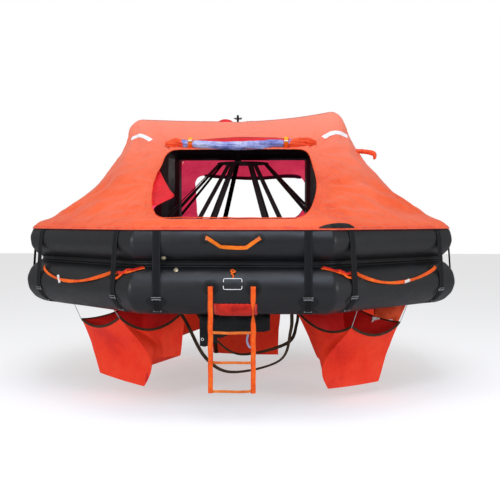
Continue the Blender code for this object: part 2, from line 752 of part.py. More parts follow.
def valves():
    """Inflation and relief valves on the front face, one for each tube."""
    for name, x, angle, radius, height in (
        ("valve_upper", -0.526, -46, UPPER_R, UPPER_Z),
        ("valve_lower", -0.430, 50, LOWER_R, LOWER_Z),
    ):
        a = math.radians(angle)
        out = Vector((0, -math.cos(a), math.sin(a)))
        seat = Vector((x, -APOTHEM, height)) + out * (radius + SEAT)
        profile = [(0, 0.016), (0.010, 0.016), (0.013, 0.012), (0.013, 0.006)]
        profile += [(0.019, 0.004), (0.019, 0), (0, 0)]
        obj = turned(name, profile, BRASS, steps=16)
        obj.matrix_world = Matrix.Translation(seat) @ out.to_track_quat("Z", "Y").to_matrix().to_4x4()


def plate_and_pocket():
    """The blank boarding sign and the sewn rescue-line pocket, both bonded to the lower tube."""
    for name, low_x, high_x, low, high, thick, look in (
        ("sign_plate", -0.068, 0.078, 0.206, 0.288, 0.0025, PLATE),
        ("line_pocket", -0.140, 0.178, 0.008, 0.108, 0.016, RED_FABRIC),
    ):
        a0 = math.asin((low - LOWER_R) / LOWER_R)
        a1 = math.asin((high - LOWER_R) / LOWER_R)
        rows = []
        for k in range(9):
            a = a0 + (a1 - a0) * k / 8
            ray = Vector((0, -math.cos(a), math.sin(a)))
            centre = Vector((0, -APOTHEM, LOWER_Z))
            inner = centre + ray * (LOWER_R + SEAT)
            outer = centre + ray * (LOWER_R + SEAT + thick)
            rows.append(
                tuple(
                    p + Vector((x, 0, 0))
                    for p, x in ((outer, low_x), (outer, high_x), (inner, high_x), (inner, low_x))
                )
            )
        add(name, band(rows), look)


def handles():
    """A webbing boarding handle across the upper tube under each entrance."""
    for name, side in (("boarding_handle_front", 0), ("boarding_handle_rear", 4)):
        normal, along = face_frame(side)
        rows = []
        for k in range(17):
            t = k / 16
            x = -0.20 + 0.40 * t
            a = math.radians(18 - 20 * math.sin(math.pi * t))
            lift = SEAT + 0.016 * min(1, math.sin(math.pi * t) * 2.2)
            half = 0.016
            corners = []
            for extra, hand in ((0.004, 1), (0.004, -1), (0, -1), (0, 1)):
                b = a + hand * half / UPPER_R
                r = UPPER_R + lift + extra
                out = normal * (APOTHEM + r * math.cos(b))
                corners.append(out + along * x + Vector((0, 0, UPPER_Z + r * math.sin(b))))
            rows.append(corners)
        add(name, band(rows), ORANGE_WEB)


def grab_line_points(side):
    """A lifeline's slack route along one face, lying on the lower tube."""
    normal, along = face_frame(side)
    line = []
    reach = 0.50
    for k in range(GRAB_STEPS + 1):
        t = k / GRAB_STEPS
        x = -reach + 2 * reach * t
        a = math.radians(62 - 40 * math.sin(math.pi * t) ** 0.9)
        r = LOWER_R + GRAB_R + SEAT
        out = normal * (APOTHEM + r * math.cos(a))
        line.append(out + along * x + Vector((0, 0, LOWER_Z + r * math.sin(a))))
    return line


def grab_lines():
    for side in (1, 2, 3, 5, 6, 7):
        swept(f"grab_line_{side + 1}", grab_line_points(side), GRAB_R, ORANGE_WEB, 2)


def righting_webbing():
    """Slack webbing under the raft, for righting it from the water."""
    top = FLOOR_BOTTOM - SEAT
    for name, y, left, right, low in (
        ("righting_web_near", -1.22, -0.33, 0.42, -0.63),
        ("righting_web_far", -0.73, -0.30, 0.42, -0.55),
    ):
        route = [(left, y, top - d) for d in (0, 0.03, 0.06)]
        route += [(left + 0.05, y, top - 0.15), (left + 0.20, y, low + 0.12), (left + 0.42, y, low)]
        route += [(right - 0.10, y, low + 0.10), (right - 0.01, y, top - 0.20)]
        route += [(right, y, top - d) for d in (0.06, 0.03, 0)]
        swept(name, smooth_line(route, 49), RIGHTING_R, BROWN_WEB, 2)


def vent(tree):
    """The short rain-water sleeve on the right of the canopy."""
    x, y = 1.16, -0.12
    point, out = on_canopy(tree, x, y, SEAT)
    profile = [(0.034, 0.095), (0.026, 0.070), (0.020, 0.030), (0.022, 0.0)]
    inner = [(0.017, 0.010), (0.016, 0.030), (0.021, 0.070), (0.030, 0.095)]
    ring = [*profile, (0.0, 0.0), (0.0, 0.010), *inner]
    sleeve = turned("rain_sleeve", ring, ORANGE_FABRIC, steps=16, closed=True)
    sleeve.matrix_world = Matrix.Translation(point) @ out.to_track_quat("Z", "Y").to_matrix().to_4x4()


tubes()
inflated_floor()
thwart()
arch()
canopy()
outside = canopy_tree()
curtains(outside)
corner_straps()
bridle()
sling()
shackle()
ladder()
pockets()
gas_cylinder()
valves()
plate_and_pocket()
handles()
grab_lines()
righting_webbing()
vent(outside)
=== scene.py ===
from math import asin, atan2, copysign, cos, degrees, exp, pi, radians, sin, tan, tanh, tau

import bmesh
import bpy
import numpy as np
from mathutils import Matrix, Vector, noise
from mathutils.bvhtree import BVHTree


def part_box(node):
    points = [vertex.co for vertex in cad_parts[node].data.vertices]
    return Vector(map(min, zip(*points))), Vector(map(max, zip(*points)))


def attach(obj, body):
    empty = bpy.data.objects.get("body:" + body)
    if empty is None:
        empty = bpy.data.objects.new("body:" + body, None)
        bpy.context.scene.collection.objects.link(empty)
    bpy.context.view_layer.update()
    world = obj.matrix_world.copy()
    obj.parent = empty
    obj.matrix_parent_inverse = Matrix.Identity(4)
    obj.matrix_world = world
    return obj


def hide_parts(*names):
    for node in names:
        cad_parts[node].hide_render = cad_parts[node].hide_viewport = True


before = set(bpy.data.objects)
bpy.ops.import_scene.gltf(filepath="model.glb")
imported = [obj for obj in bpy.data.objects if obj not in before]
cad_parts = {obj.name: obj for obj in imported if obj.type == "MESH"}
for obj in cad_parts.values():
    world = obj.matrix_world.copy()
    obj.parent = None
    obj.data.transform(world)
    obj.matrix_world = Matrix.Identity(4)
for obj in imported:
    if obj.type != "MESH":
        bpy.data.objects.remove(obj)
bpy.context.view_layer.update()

upward = Vector((0, 0, 1))
wallThin = 0.0016  # small pieces of cloth
entrances = (("Front", False), ("Rear", True))  # name and whether it faces the rear
lowerBox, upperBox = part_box("lower_tube"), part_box("upper_tube")
archBox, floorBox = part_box("arch_tube"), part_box("floor")


def tubeFrom(box):
    radius = (box[1].z - box[0].z) / 2
    return {"radius": radius, "z": (box[0].z + box[1].z) / 2, "apothem": -box[0].y - radius}


lower, upper = tubeFrom(lowerBox), tubeFrom(upperBox)
faceTurn = pi / 4  # the raft is an octagon, face 0 is the front
print("raft frame loaded")

studio = {
    "cameraAt": (0.36, -8.16, 0.63),
    "turn": 2.05,  # degrees to the left of straight ahead
    "pitch": 2.05,  # degrees down
    "lens": 60.2,
    "floorZ": -0.90,
    "floorTone": "D8D8DA",
    "floorGlow": 0.46,  # only as the camera sees it
    "backTone": "FFFFFF",
    "backLight": 0.43,  # what the background gives the raft; the camera sees it at 1
    "lampsFace": (0, 0, 0.3),
    "lamps": {
        "skyPanel": {"at": (0, -2.2, 7.0), "size": 4.0, "power": 130},
        "highPanel": {"at": (0.5, -7.0, 6.6), "size": 3.6, "power": 250, "tint": "DCE6FF"},
        "frontPanel": {"at": (-5.5, -8.0, 1.8), "size": 3.0, "power": 230},
        "rightPanel": {"at": (7.5, -5.0, 1.2), "size": 2.5, "power": 150},
    },
}


def linear(code):
    # sRGB hex to a linear colour
    parts = [int(code[i : i + 2], 16) / 255 for i in (0, 2, 4)]
    return (*(p / 12.92 if p <= 0.04045 else ((p + 0.055) / 1.055) ** 2.4 for p in parts), 1)


def firstSocket(source):
    # a socket as it is, or a node's first output
    return source.outputs[0] if hasattr(source, "outputs") else source


def addNode(tree, kind, values=None, links=None, **settings):
    node = tree.nodes.new(kind)
    for name, value in settings.items():
        setattr(node, name, value)
    for name, value in (values or {}).items():
        node.inputs[name].default_value = value
    for name, source in (links or {}).items():
        tree.links.new(firstSocket(source), node.inputs[name])
    return node


def forCamera(tree, seen, lit):
    # one value for what the camera sees directly, another for everything else
    ray = addNode(tree, "ShaderNodeLightPath").outputs["Is Camera Ray"]
    return addNode(tree, "ShaderNodeMapRange", {3: lit, 4: seen}, {0: ray}).outputs[0]


def newMaterial(name):
    mat = bpy.data.materials.new(name)
    mat.use_nodes = True
    return mat, mat.node_tree, mat.node_tree.nodes["Principled BSDF"]


def addObject(name, data):
    obj = bpy.data.objects.new(name, data)
    bpy.context.scene.collection.objects.link(obj)
    return obj


def makeStudio():
    data = bpy.data.cameras.new("photoView")
    data.lens = studio["lens"]
    data.sensor_width = 36
    camera = addObject("photoView", data)
    camera.location = studio["cameraAt"]
    camera.rotation_euler = (radians(90 - studio["pitch"]), 0, radians(studio["turn"]))
    bpy.context.scene.camera = camera
    world = bpy.data.worlds.new("softStudio")
    world.use_nodes = True
    back = world.node_tree.nodes["Background"].inputs
    back["Color"].default_value = linear(studio["backTone"])
    world.node_tree.links.new(forCamera(world.node_tree, 1.0, studio["backLight"]), back["Strength"])
    bpy.context.scene.world = world
    bpy.context.scene.view_settings.view_transform = "Standard"
    for name, lamp in studio["lamps"].items():
        light = bpy.data.lights.new(name, "AREA")
        light.energy, light.size = lamp["power"], lamp["size"]
        light.color = linear(lamp.get("tint", "FFFFFF"))[:3]
        holder = addObject(name, light)
        holder.location = lamp["at"]
        way = Vector(studio["lampsFace"]) - Vector(lamp["at"])
        holder.rotation_euler = way.to_track_quat("-Z", "Y").to_euler()
    bm = bmesh.new()
    bmesh.ops.create_grid(bm, x_segments=1, y_segments=1, size=30)
    ground = bpy.data.meshes.new("studioFloor")
    bm.to_mesh(ground)
    bm.free()
    floor = addObject("studioFloor", ground)
    floor.location.z = studio["floorZ"]
    # backdrop paper: flat and matt, and near white to the camera
    paper, tree, shader = newMaterial("palePaper")
    shader.inputs["Base Color"].default_value = linear(studio["floorTone"])
    shader.inputs["Roughness"].default_value = 0.95
    shader.inputs["Emission Color"].default_value = linear(studio["backTone"])
    tree.links.new(forCamera(tree, studio["floorGlow"], 0.0), shader.inputs["Emission Strength"])
    ground.materials.append(paper)
    print("studio ready")


makeStudio()


# Materials. Each starts from the real stuff and how it was made.


def varyRoughness(tree, roughness, below, above, pattern):
    # smoother and rougher than its mean, as the pattern goes
    spread = {1: 0.3, 2: 0.7, 3: roughness - below, 4: roughness + above}
    rough = addNode(tree, "ShaderNodeMapRange", spread, {0: pattern})
    tree.links.new(rough.outputs[0], tree.nodes["Principled BSDF"].inputs["Roughness"])


def fabricMaterial(name, look):
    # woven cloth: cloudy dye, a thread weave drawn coarse enough to show, and soft creases
    mat, tree, shader = newMaterial(name)
    source = "UV" if look.get("uv") else "Object"
    coords = addNode(tree, "ShaderNodeTexCoord").outputs[source]
    place = addNode(tree, "ShaderNodeTexCoord").outputs["Object"]
    cloud = {"Scale": look["cloudScale"], "Detail": 4, "Roughness": 0.6}
    clouds = addNode(tree, "ShaderNodeTexNoise", cloud, {"Vector": place})
    fine = addNode(tree, "ShaderNodeTexNoise", {"Scale": look["cloudScale"] * 14, "Detail": 3},
                   {"Vector": place})
    mixed = addNode(tree, "ShaderNodeMath", {1: 0.30}, {0: fine}, operation="MULTIPLY_ADD")
    tree.links.new(clouds.outputs[0], mixed.inputs[2])
    ramp = addNode(tree, "ShaderNodeValToRGB", links={"Fac": mixed})
    ramp.color_ramp.elements[0].position = 0.42
    ramp.color_ramp.elements[1].position = 0.86
    light, middle, dark = (linear(code) for code in look["tones"])
    ramp.color_ramp.elements[0].color = dark
    ramp.color_ramp.elements[1].color = light
    ramp.color_ramp.elements.new(0.62).color = middle
    dye = ramp.outputs[0]
    if look.get("paintedRoofReflection"):
        # painted reflection: the dye turns paler towards the ridge, standing in for the sky's reflection on
        # the roof
        height = addNode(tree, "ShaderNodeSeparateXYZ", links={"Vector": place}).outputs["Z"]
        share = addNode(tree, "ShaderNodeMapRange", {1: look["roofReflectionFrom"], 2: look["roofReflectionTo"], 3: 0.0, 4: 1.0},
                        {0: height})
        # sockets 6 and 7 are the colours A and B, output 2 the mixed colour
        roofReflection = addNode(tree, "ShaderNodeMix", {7: linear(look["paintedRoofReflection"])}, {0: share, 6: dye},
                         data_type="RGBA")
        dye = roofReflection.outputs[2]
    tree.links.new(dye, shader.inputs["Base Color"])
    if look.get("paintedGlow"):
        # painted light: the dye also glows as emission, standing in for light coming through thin cloth from
        # the other side
        tree.links.new(dye, shader.inputs["Emission Color"])
        shader.inputs["Emission Strength"].default_value = look["paintedGlow"]
    # a thread is about 0.5 mm: drawn coarser, threadMm apart, so that it shows
    thread = {"Scale": 314.16 / look["threadMm"], "Distortion": 0.6, "Detail": 1}
    threads = [addNode(tree, "ShaderNodeTexWave", thread, {"Vector": coords}, wave_type="BANDS",
                       bands_direction=axis) for axis in look.get("threads", ("X", "Z"))]
    weave = addNode(tree, "ShaderNodeMath", {}, {0: threads[0].outputs[1], 1: threads[1].outputs[1]},
                    operation="MAXIMUM")
    crease = {"Scale": look["creaseScale"], "Detail": 4, "Roughness": 0.55, "Distortion": 0.8}
    creases = addNode(tree, "ShaderNodeTexNoise", crease, {"Vector": place})
    weaveBump = addNode(tree, "ShaderNodeBump", {"Strength": look["weaveDepth"], "Distance": 0.001},
                        {"Height": weave})
    creaseBump = addNode(tree, "ShaderNodeBump", {"Strength": look["creaseDepth"], "Distance": 0.02},
                         {"Height": creases, "Normal": weaveBump})
    tree.links.new(creaseBump.outputs[0], shader.inputs["Normal"])
    varyRoughness(tree, look["roughness"], 0.08, 0.08, clouds)
    shader.inputs["Sheen Weight"].default_value = look.get("sheen", 0.03)
    shader.inputs["Specular IOR Level"].default_value = 0.22
    shader.inputs["Sheen Roughness"].default_value = 0.45
    return mat


def rubberMaterial(name, look):
    # calendered rubber on fabric: near black, a broad soft shine, scuffs and talc left in the hollows
    mat, tree, shader = newMaterial(name)
    coords = addNode(tree, "ShaderNodeTexCoord").outputs["Object"]
    cloud = {"Scale": 3.1, "Detail": 6, "Roughness": 0.62}
    clouds = addNode(tree, "ShaderNodeTexNoise", cloud, {"Vector": coords})
    stretch = addNode(tree, "ShaderNodeMapping", {"Scale": (0.6, 0.6, 2.2)}, {"Vector": coords})
    scuffs = addNode(tree, "ShaderNodeTexNoise", {"Scale": 8.5, "Detail": 7, "Roughness": 0.75},
                     {"Vector": stretch})
    talc = addNode(tree, "ShaderNodeMapRange", {1: 0.55, 2: 0.80, 3: 0.0, 4: 1.0}, {0: scuffs})
    ramp = addNode(tree, "ShaderNodeValToRGB", links={"Fac": clouds})
    ramp.color_ramp.elements[0].position = 0.30
    ramp.color_ramp.elements[1].position = 0.72
    ramp.color_ramp.elements[0].color = linear(look["dark"])
    ramp.color_ramp.elements[1].color = linear(look["colour"])
    dust = addNode(tree, "ShaderNodeMix", {7: linear(look["dust"])}, {6: ramp}, data_type="RGBA")
    dustShare = addNode(tree, "ShaderNodeMath", {1: look["dustShare"]}, {0: talc},
                        operation="MULTIPLY")
    tree.links.new(dustShare.outputs[0], dust.inputs[0])
    tree.links.new(dust.outputs[2], shader.inputs["Base Color"])
    varyRoughness(tree, look["roughness"], 0.06, 0.10, scuffs)
    cloth = addNode(tree, "ShaderNodeTexNoise", {"Scale": 420, "Detail": 2}, {"Vector": coords})
    dents = addNode(tree, "ShaderNodeTexNoise", {"Scale": 5.0, "Detail": 3, "Distortion": 0.5},
                    {"Vector": coords})
    grain = addNode(tree, "ShaderNodeBump", {"Strength": 0.18, "Distance": 0.0008},
                    {"Height": cloth})
    dent = addNode(tree, "ShaderNodeBump", {"Strength": 0.22, "Distance": 0.02},
                   {"Height": dents, "Normal": grain})
    tree.links.new(dent.outputs[0], shader.inputs["Normal"])
    shader.inputs["Specular IOR Level"].default_value = look.get("specular", 0.5)
    shader.inputs["Coat Weight"].default_value = look.get("coat", 0.06)
    shader.inputs["Coat Roughness"].default_value = 0.35
    return mat


def metalMaterial(name, look):
    # cast or drawn metal with fine wear
    mat, tree, shader = newMaterial(name)
    coords = addNode(tree, "ShaderNodeTexCoord").outputs["Object"]
    wear = addNode(tree, "ShaderNodeTexNoise", {"Scale": 60, "Detail": 5}, {"Vector": coords})
    ramp = addNode(tree, "ShaderNodeValToRGB", links={"Fac": wear})
    ramp.color_ramp.elements[0].color = linear(look["dark"])
    ramp.color_ramp.elements[1].color = linear(look["colour"])
    tree.links.new(ramp.outputs[0], shader.inputs["Base Color"])
    varyRoughness(tree, look["roughness"], 0.08, 0.12, wear)
    bump = addNode(tree, "ShaderNodeBump", {"Strength": 0.12, "Distance": 0.0006},
                   {"Height": wear})
    tree.links.new(bump.outputs[0], shader.inputs["Normal"])
    shader.inputs["Metallic"].default_value = look["metallic"]
    return mat


webbing = {"cloudScale": 12, "threadMm": 4, "weaveDepth": 0.6, "creaseScale": 30, "creaseDepth": 0.1,
           "roughness": 0.6, "uv": True, "threads": ("X", "Y")}
narrowTape = {"cloudScale": 20, "threadMm": 4, "weaveDepth": 0.4, "creaseScale": 30, "creaseDepth": 0.1}
coated = {"threadMm": 9, "weaveDepth": 0.10}
lining = {"cloudScale": 6, "threadMm": 7, "weaveDepth": 0.08, "creaseScale": 16}
dusty = {"dust": "3A4252", "coat": 0.0}

materials = {
    # polyurethane-coated nylon, dyed signal orange: matt, deeply creased, and paler towards the ridge by a
    # painted reflection of the sky
    "canopyNylon": fabricMaterial("coatedNylonOrange", {
        **coated, "tones": ("FA6E46", "F4602F", "E84A20"), "cloudScale": 1.6,
        "creaseScale": 7.5, "creaseDepth": 0.75, "roughness": 0.6, "sheen": 0.16,
        "paintedRoofReflection": "F58A72", "roofReflectionFrom": 0.95, "roofReflectionTo": 1.65}),
    # its inner face, a crimson lining, with a painted glow for the daylight that comes through
    "canopyLining": fabricMaterial("coatedNylonCrimson", {
        "tones": ("E04060", "CC3052", "A82042"), "cloudScale": 1.6, "threadMm": 9,
        "weaveDepth": 0.08, "creaseScale": 6.5, "creaseDepth": 0.25, "roughness": 0.6, "paintedGlow": 0.78}),
    # thin curtain linings with sharp small creases from being rolled; the plum one unevenly dyed, the blue
    # one's pale and dark tones painted highlight and painted shade, scattered at random
    "curtainBlue": fabricMaterial("liningCloudBlue", {
        **lining, "tones": ("D4D8F4", "8E98D8", "50529A"), "creaseDepth": 0.6,
        "roughness": 0.45}),
    "curtainPlum": fabricMaterial("liningPlum", {
        **lining, "tones": ("7A3A6C", "642C5C", "481E44"), "creaseDepth": 0.55,
        "roughness": 0.55}),
    # the same nylon cut as tape: flatter, its weave easier to see
    "canopyEdge": fabricMaterial("coatedNylonOrangeTape", {
        "tones": ("F8663A", "F0542A", "DC401C"), "cloudScale": 9, "threadMm": 7,
        "weaveDepth": 0.2, "creaseScale": 18, "creaseDepth": 0.35, "roughness": 0.6, "sheen": 0.06}),
    # woven polyester tape, bright and even
    "tabYellow": fabricMaterial("polyesterTabYellow", {
        **narrowTape, "tones": ("FFC020", "FBA818", "E88C10"), "roughness": 0.55}),
    # coated nylon of the pockets, a strong red, with a little painted glow for the light behind it
    "pocketRed": fabricMaterial("coatedNylonRed", {
        **coated, "tones": ("FF4A2A", "FA3A1E", "E62816"), "cloudScale": 3,
        "creaseScale": 8, "creaseDepth": 0.50, "roughness": 0.55, "paintedGlow": 0.10}),
    # the pockets' inner face: bright tones and a little painted glow for light coming through the thin cloth
    "pocketInside": fabricMaterial("coatedNylonRedInside", {
        **coated, "tones": ("E62A26", "DA201E", "BE1616"), "cloudScale": 3,
        "creaseScale": 8, "creaseDepth": 0.35, "roughness": 0.6, "paintedGlow": 0.07}),
    "curtainRed": fabricMaterial("coatedNylonScarlet", {
        **coated, "tones": ("E8262E", "DC1C28", "C41420"), "cloudScale": 4,
        "creaseScale": 9, "creaseDepth": 0.4, "roughness": 0.55}),
    "lanyardBlue": fabricMaterial("lanyardTapeBlue", {
        **narrowTape, "tones": ("C4D0EC", "9CA8CC", "7480A4"), "roughness": 0.5}),
    # light coated nylon, crumpled by its stitching
    "pouchRed": fabricMaterial("pouchNylonRed", {
        "tones": ("F03C28", "E02C1C", "BC1C14"), "cloudScale": 9, "threadMm": 7,
        "weaveDepth": 0.15, "creaseScale": 26, "creaseDepth": 0.45, "roughness": 0.5}),
    # heavy polyester webbing: a coarse weave along the strap, from amber to orange
    "webHandle": fabricMaterial("polyesterWebAmber", {
        **webbing, "tones": ("FF9A1E", "FA7C14", "E05A08")}),
    "webRung": fabricMaterial("polyesterWebRung", {
        **webbing, "tones": ("F28A3A", "E2702A", "C4561C")}),
    "webOrange": fabricMaterial("polyesterWebOrange", {
        **webbing, "tones": ("FF7A20", "FA5E14", "E04408")}),
    "webBlack": fabricMaterial("polyesterWebBlack", {
        "tones": ("131315", "0D0D0F", "070709"), "cloudScale": 10, "threadMm": 5,
        "weaveDepth": 0.6, "creaseScale": 30, "creaseDepth": 0.1, "roughness": 0.7}),
    # cotton webbing, dull and dry
    "webBrown": fabricMaterial("cottonWebBrown", {
        **webbing, "tones": ("50402C", "3E3122", "281F15"), "cloudScale": 14,
        "threadMm": 5, "creaseDepth": 0.15, "roughness": 0.8}),
    # coated cloth of the floor and the cylinder's cover, nearly black with a dull shine
    "floorCloth": fabricMaterial("coatedFloorFabric", {
        "tones": ("363A42", "2A2E36", "1E2228"), "cloudScale": 3, "threadMm": 8,
        "weaveDepth": 0.15, "creaseScale": 5, "creaseDepth": 0.3, "roughness": 0.6}),
    "coverBlack": fabricMaterial("coatedCoverFabric", {
        "tones": ("1C1F21", "131517", "0B0C0D"), "cloudScale": 5, "threadMm": 8,
        "weaveDepth": 0.12, "creaseScale": 11, "creaseDepth": 0.5, "roughness": 0.5}),
    # glass beads on a white ground: silvery white from any side
    "reflectiveTape": fabricMaterial("glassBeadTape", {
        "tones": ("FFFFFF", "F4F4F6", "E2E2E6"), "cloudScale": 20, "threadMm": 6,
        "weaveDepth": 0.2, "creaseScale": 30, "creaseDepth": 0.1, "roughness": 0.4}),
    # calendered rubber on fabric: black with a broad, soft shine
    "tubeRubber": rubberMaterial("rubberisedTubeFabric", {
        **dusty, "colour": "101116", "dark": "08090B", "dustShare": 0.08, "roughness": 0.40,
        "specular": 0.50}),
    "patchRubber": rubberMaterial("rubberPatch", {
        **dusty, "colour": "0C0D10", "dark": "070708", "dustShare": 0.10, "roughness": 0.45,
        "specular": 0.35}),
    "plateBlack": rubberMaterial("printedPlate", {
        "colour": "14161A", "dark": "0E1013", "dust": "4A4E55", "dustShare": 0.1, "roughness": 0.35}),
    # forged and polished steel, and plated brass, a little worn
    "steel": metalMaterial("stainlessSteel", {
        "colour": "C8CACC", "dark": "9A9C9E", "roughness": 0.3, "metallic": 1.0}),
    "brass": metalMaterial("nickelledBrass", {
        "colour": "E6DCC0", "dark": "B8A880", "roughness": 0.35, "metallic": 0.8}),
    # stoved enamel on the cylinder: smooth dark grey
    "cylinderPaint": metalMaterial("enamelGrey", {
        "colour": "3A3C40", "dark": "26282B", "roughness": 0.4, "metallic": 0.2}),
    # moulded nylon, clean and slightly glossy
    "toggleWhite": metalMaterial("nylonWhite", {
        "colour": "F2F2EE", "dark": "DCDCD6", "roughness": 0.4, "metallic": 0.0}),
    # twisted polyester thread, matt
    "threadWhite": metalMaterial("polyesterThread", {
        "colour": "C9CDD2", "dark": "A2A6AC", "roughness": 0.6, "metallic": 0.0}),
    "threadOrange": metalMaterial("polyesterThreadOrange", {
        "colour": "D8593A", "dark": "B8442A", "roughness": 0.7, "metallic": 0.0}),
    "threadGrey": metalMaterial("polyesterThreadGrey", {
        "colour": "565A60", "dark": "3C4046", "roughness": 0.7, "metallic": 0.0}),
}
print("materials ready")


# Shared mesh helpers.


def carried(obj, body):
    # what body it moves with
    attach(obj, body)
    return obj


def piece(name, bm, looks, body="raft", sharp=40):
    # a piece of the raft at the origin, with its place in its mesh
    mesh = bpy.data.meshes.new(name)
    bm.to_mesh(mesh)
    bm.free()
    mesh.shade_smooth()
    mesh.set_sharp_from_angle(angle=radians(sharp))
    for look in looks if isinstance(looks, (list, tuple)) else [looks]:
        mesh.materials.append(materials[look])
    return carried(addObject(name, mesh), body)


def smoothLine(points, count):
    # points along a Catmull-Rom curve through the given ones
    p = [Vector(x) for x in points]
    p = [2 * p[0] - p[1], *p, 2 * p[-1] - p[-2]]
    out = []
    spans = len(p) - 3
    for k in range(count):
        at = k * spans / (count - 1)
        i = min(int(at), spans - 1)
        t = at - i
        a, b, c, d = p[i : i + 4]
        out.append(0.5 * ((2 * b) + (c - a) * t + (2 * a - 5 * b + 4 * c - d) * t * t
                          + (3 * b - a - 3 * c + d) * t**3))
    return out


def lineLength(points):
    return sum((b - a).length for a, b in zip(points, points[1:], strict=False))


def strapSection(width, thickness):
    # a flat strap's section with softened edges, as (across, up) pairs
    w, t = width / 2, thickness / 2
    r = t * 0.8
    return [(-w, 0), (-w + r * 0.4, t * 0.75), (-w + r * 1.6, t), (0, t), (w - r * 1.6, t),
            (w - r * 0.4, t * 0.75), (w, 0), (w - r * 0.4, -t * 0.75), (w - r * 1.6, -t), (0, -t),
            (-w + r * 1.6, -t), (-w + r * 0.4, -t * 0.75)]


def woven(grid, closed=False):
    # a sheet of quads over rows of points
    bm = bmesh.new()
    rows = [[bm.verts.new(point) for point in line] for line in grid]
    following = [*rows[1:], rows[0]] if closed else rows[1:]
    for a, b in zip(rows, following, strict=False):
        for m in range(len(a) - 1):
            bm.faces.new((a[m], b[m], b[m + 1], a[m + 1]))
    bmesh.ops.recalc_face_normals(bm, faces=bm.faces)
    return bm


def shares(steps):
    # from 0 to 1
    return [k / steps for k in range(steps + 1)]


def gridOf(columns, rows, place):
    # points over a sheet, from the shares across and down it
    return [[place(u, v) for v in shares(rows)] for u in shares(columns)]


def areaOf(bm):
    return sum(f.calc_area() for f in bm.faces)


def thicken(shown, thickness, offset=0, lined=False):
    # gives cloth its wall; a lined one shows its second look on the inside
    wall = shown.modifiers.new("wall", "SOLIDIFY")
    wall.thickness = thickness
    wall.offset = offset
    if lined:
        wall.material_offset = 1
        wall.material_offset_rim = 0


def upright(points):
    # (x, z) places as points on the plane y = 0
    return [Vector((x, 0, z)) for x, z in points]


def aheadAt(line, k):
    # the way a line runs at its point k
    return line[min(k + 1, len(line) - 1)] - line[max(k - 1, 0)]


def roundSection(radius, count=10):
    return [(radius * cos(tau * k / count), -radius * sin(tau * k / count))
            for k in range(count)]


def sweep(path, ups, section, closed=False, bm=None):
    # a section carried along a path; ups says which way is up at each point, and UV is in metres
    bm = bm or bmesh.new()
    uv = bm.loops.layers.uv.get("along") or bm.loops.layers.uv.new("along")
    last = len(path) - 1
    rings, reach = [], [0.0]
    for k, point in enumerate(path):
        before = path[k - 1] if k or closed else point
        after = path[(k + 1) % len(path)] if k < last or closed else point
        ahead = (after - before).normalized()
        up = ups[k] if isinstance(ups, list) else ups
        side = ahead.cross(up).normalized()
        up = side.cross(ahead)
        profile = section(k) if callable(section) else section
        rings.append([bm.verts.new(point + side * a + up * b) for a, b in profile])
        if k:
            reach.append(reach[-1] + (point - path[k - 1]).length)
    count = len(rings[0])
    around = section(0) if callable(section) else section
    pairs = [(k, k + 1) for k in range(last)] + ([(last, 0)] if closed else [])
    for a, b in pairs:
        for m in range(count):
            n = (m + 1) % count
            face = bm.faces.new((rings[a][m], rings[a][n], rings[b][n], rings[b][m]))
            end = reach[b] if b else reach[-1] + (path[0] - path[-1]).length
            left, right = around[m][0], around[n][0]
            spots = ((left, reach[a]), (right, reach[a]), (right, end), (left, end))
            for loop, spot in zip(face.loops, spots, strict=True):
                loop[uv].uv = spot
    if not closed:
        bm.faces.new(rings[0][::-1])
        bm.faces.new(rings[-1])
    bmesh.ops.recalc_face_normals(bm, faces=bm.faces)
    return bm


def faceFrame(face):
    # outward normal and along-face direction of one face
    turn = -pi / 2 + face * faceTurn
    normal = Vector((cos(turn), sin(turn), 0))
    return normal, Vector((-normal.y, normal.x, 0))


faceNormals = [faceFrame(k)[0] for k in range(8)]
cornerSoftness = 220  # how tightly the tubes turn their corners; more is sharper


def octagonReach(direction):
    # how far the octagon of apothem 1 reaches in a level direction, its corners a little rounded
    total = sum(max(0.0, n.dot(direction)) ** cornerSoftness for n in faceNormals)
    return 1 / total ** (1 / cornerSoftness)


def onRing(tube, out, r, a):
    # a point r from a tube's middle line, at the angle a up from level, in the level direction out
    return out * (tube["apothem"] + r * cos(a)) + upward * (tube["z"] + r * sin(a))


def onTube(tube, face, lift=0.0):
    # maps (along the face, up round the tube from its middle, height) in metres to a point
    normal, along = faceFrame(face)

    def place(x, arc, height=0.0):
        a = arc / tube["radius"]
        r = tube["radius"] + lift + height
        return onRing(tube, normal, r, a) + along * x

    return place


def arcAt(z):
    # how far up round the lower tube's front a height lies
    return asin(max(-1, min(1, (z - lower["z"]) / lower["radius"]))) * lower["radius"]


def tubeOut(face, arc, tube):
    a = arc / tube["radius"]
    return (faceFrame(face)[0] * cos(a) + upward * sin(a)).normalized()


def roundedRect(width, height, radius, steps=4):
    out = []
    for cx, cy, start in ((1, 1, 0), (-1, 1, 90), (-1, -1, 180), (1, -1, 270)):
        for k in range(steps + 1):
            a = radians(start + 90 * k / steps)
            out.append((cx * (width / 2 - radius) + radius * cos(a),
                        cy * (height / 2 - radius) + radius * sin(a)))
    return out


def circle(radius, count=28):
    return [(radius * cos(tau * k / count), radius * sin(tau * k / count))
            for k in range(count)]


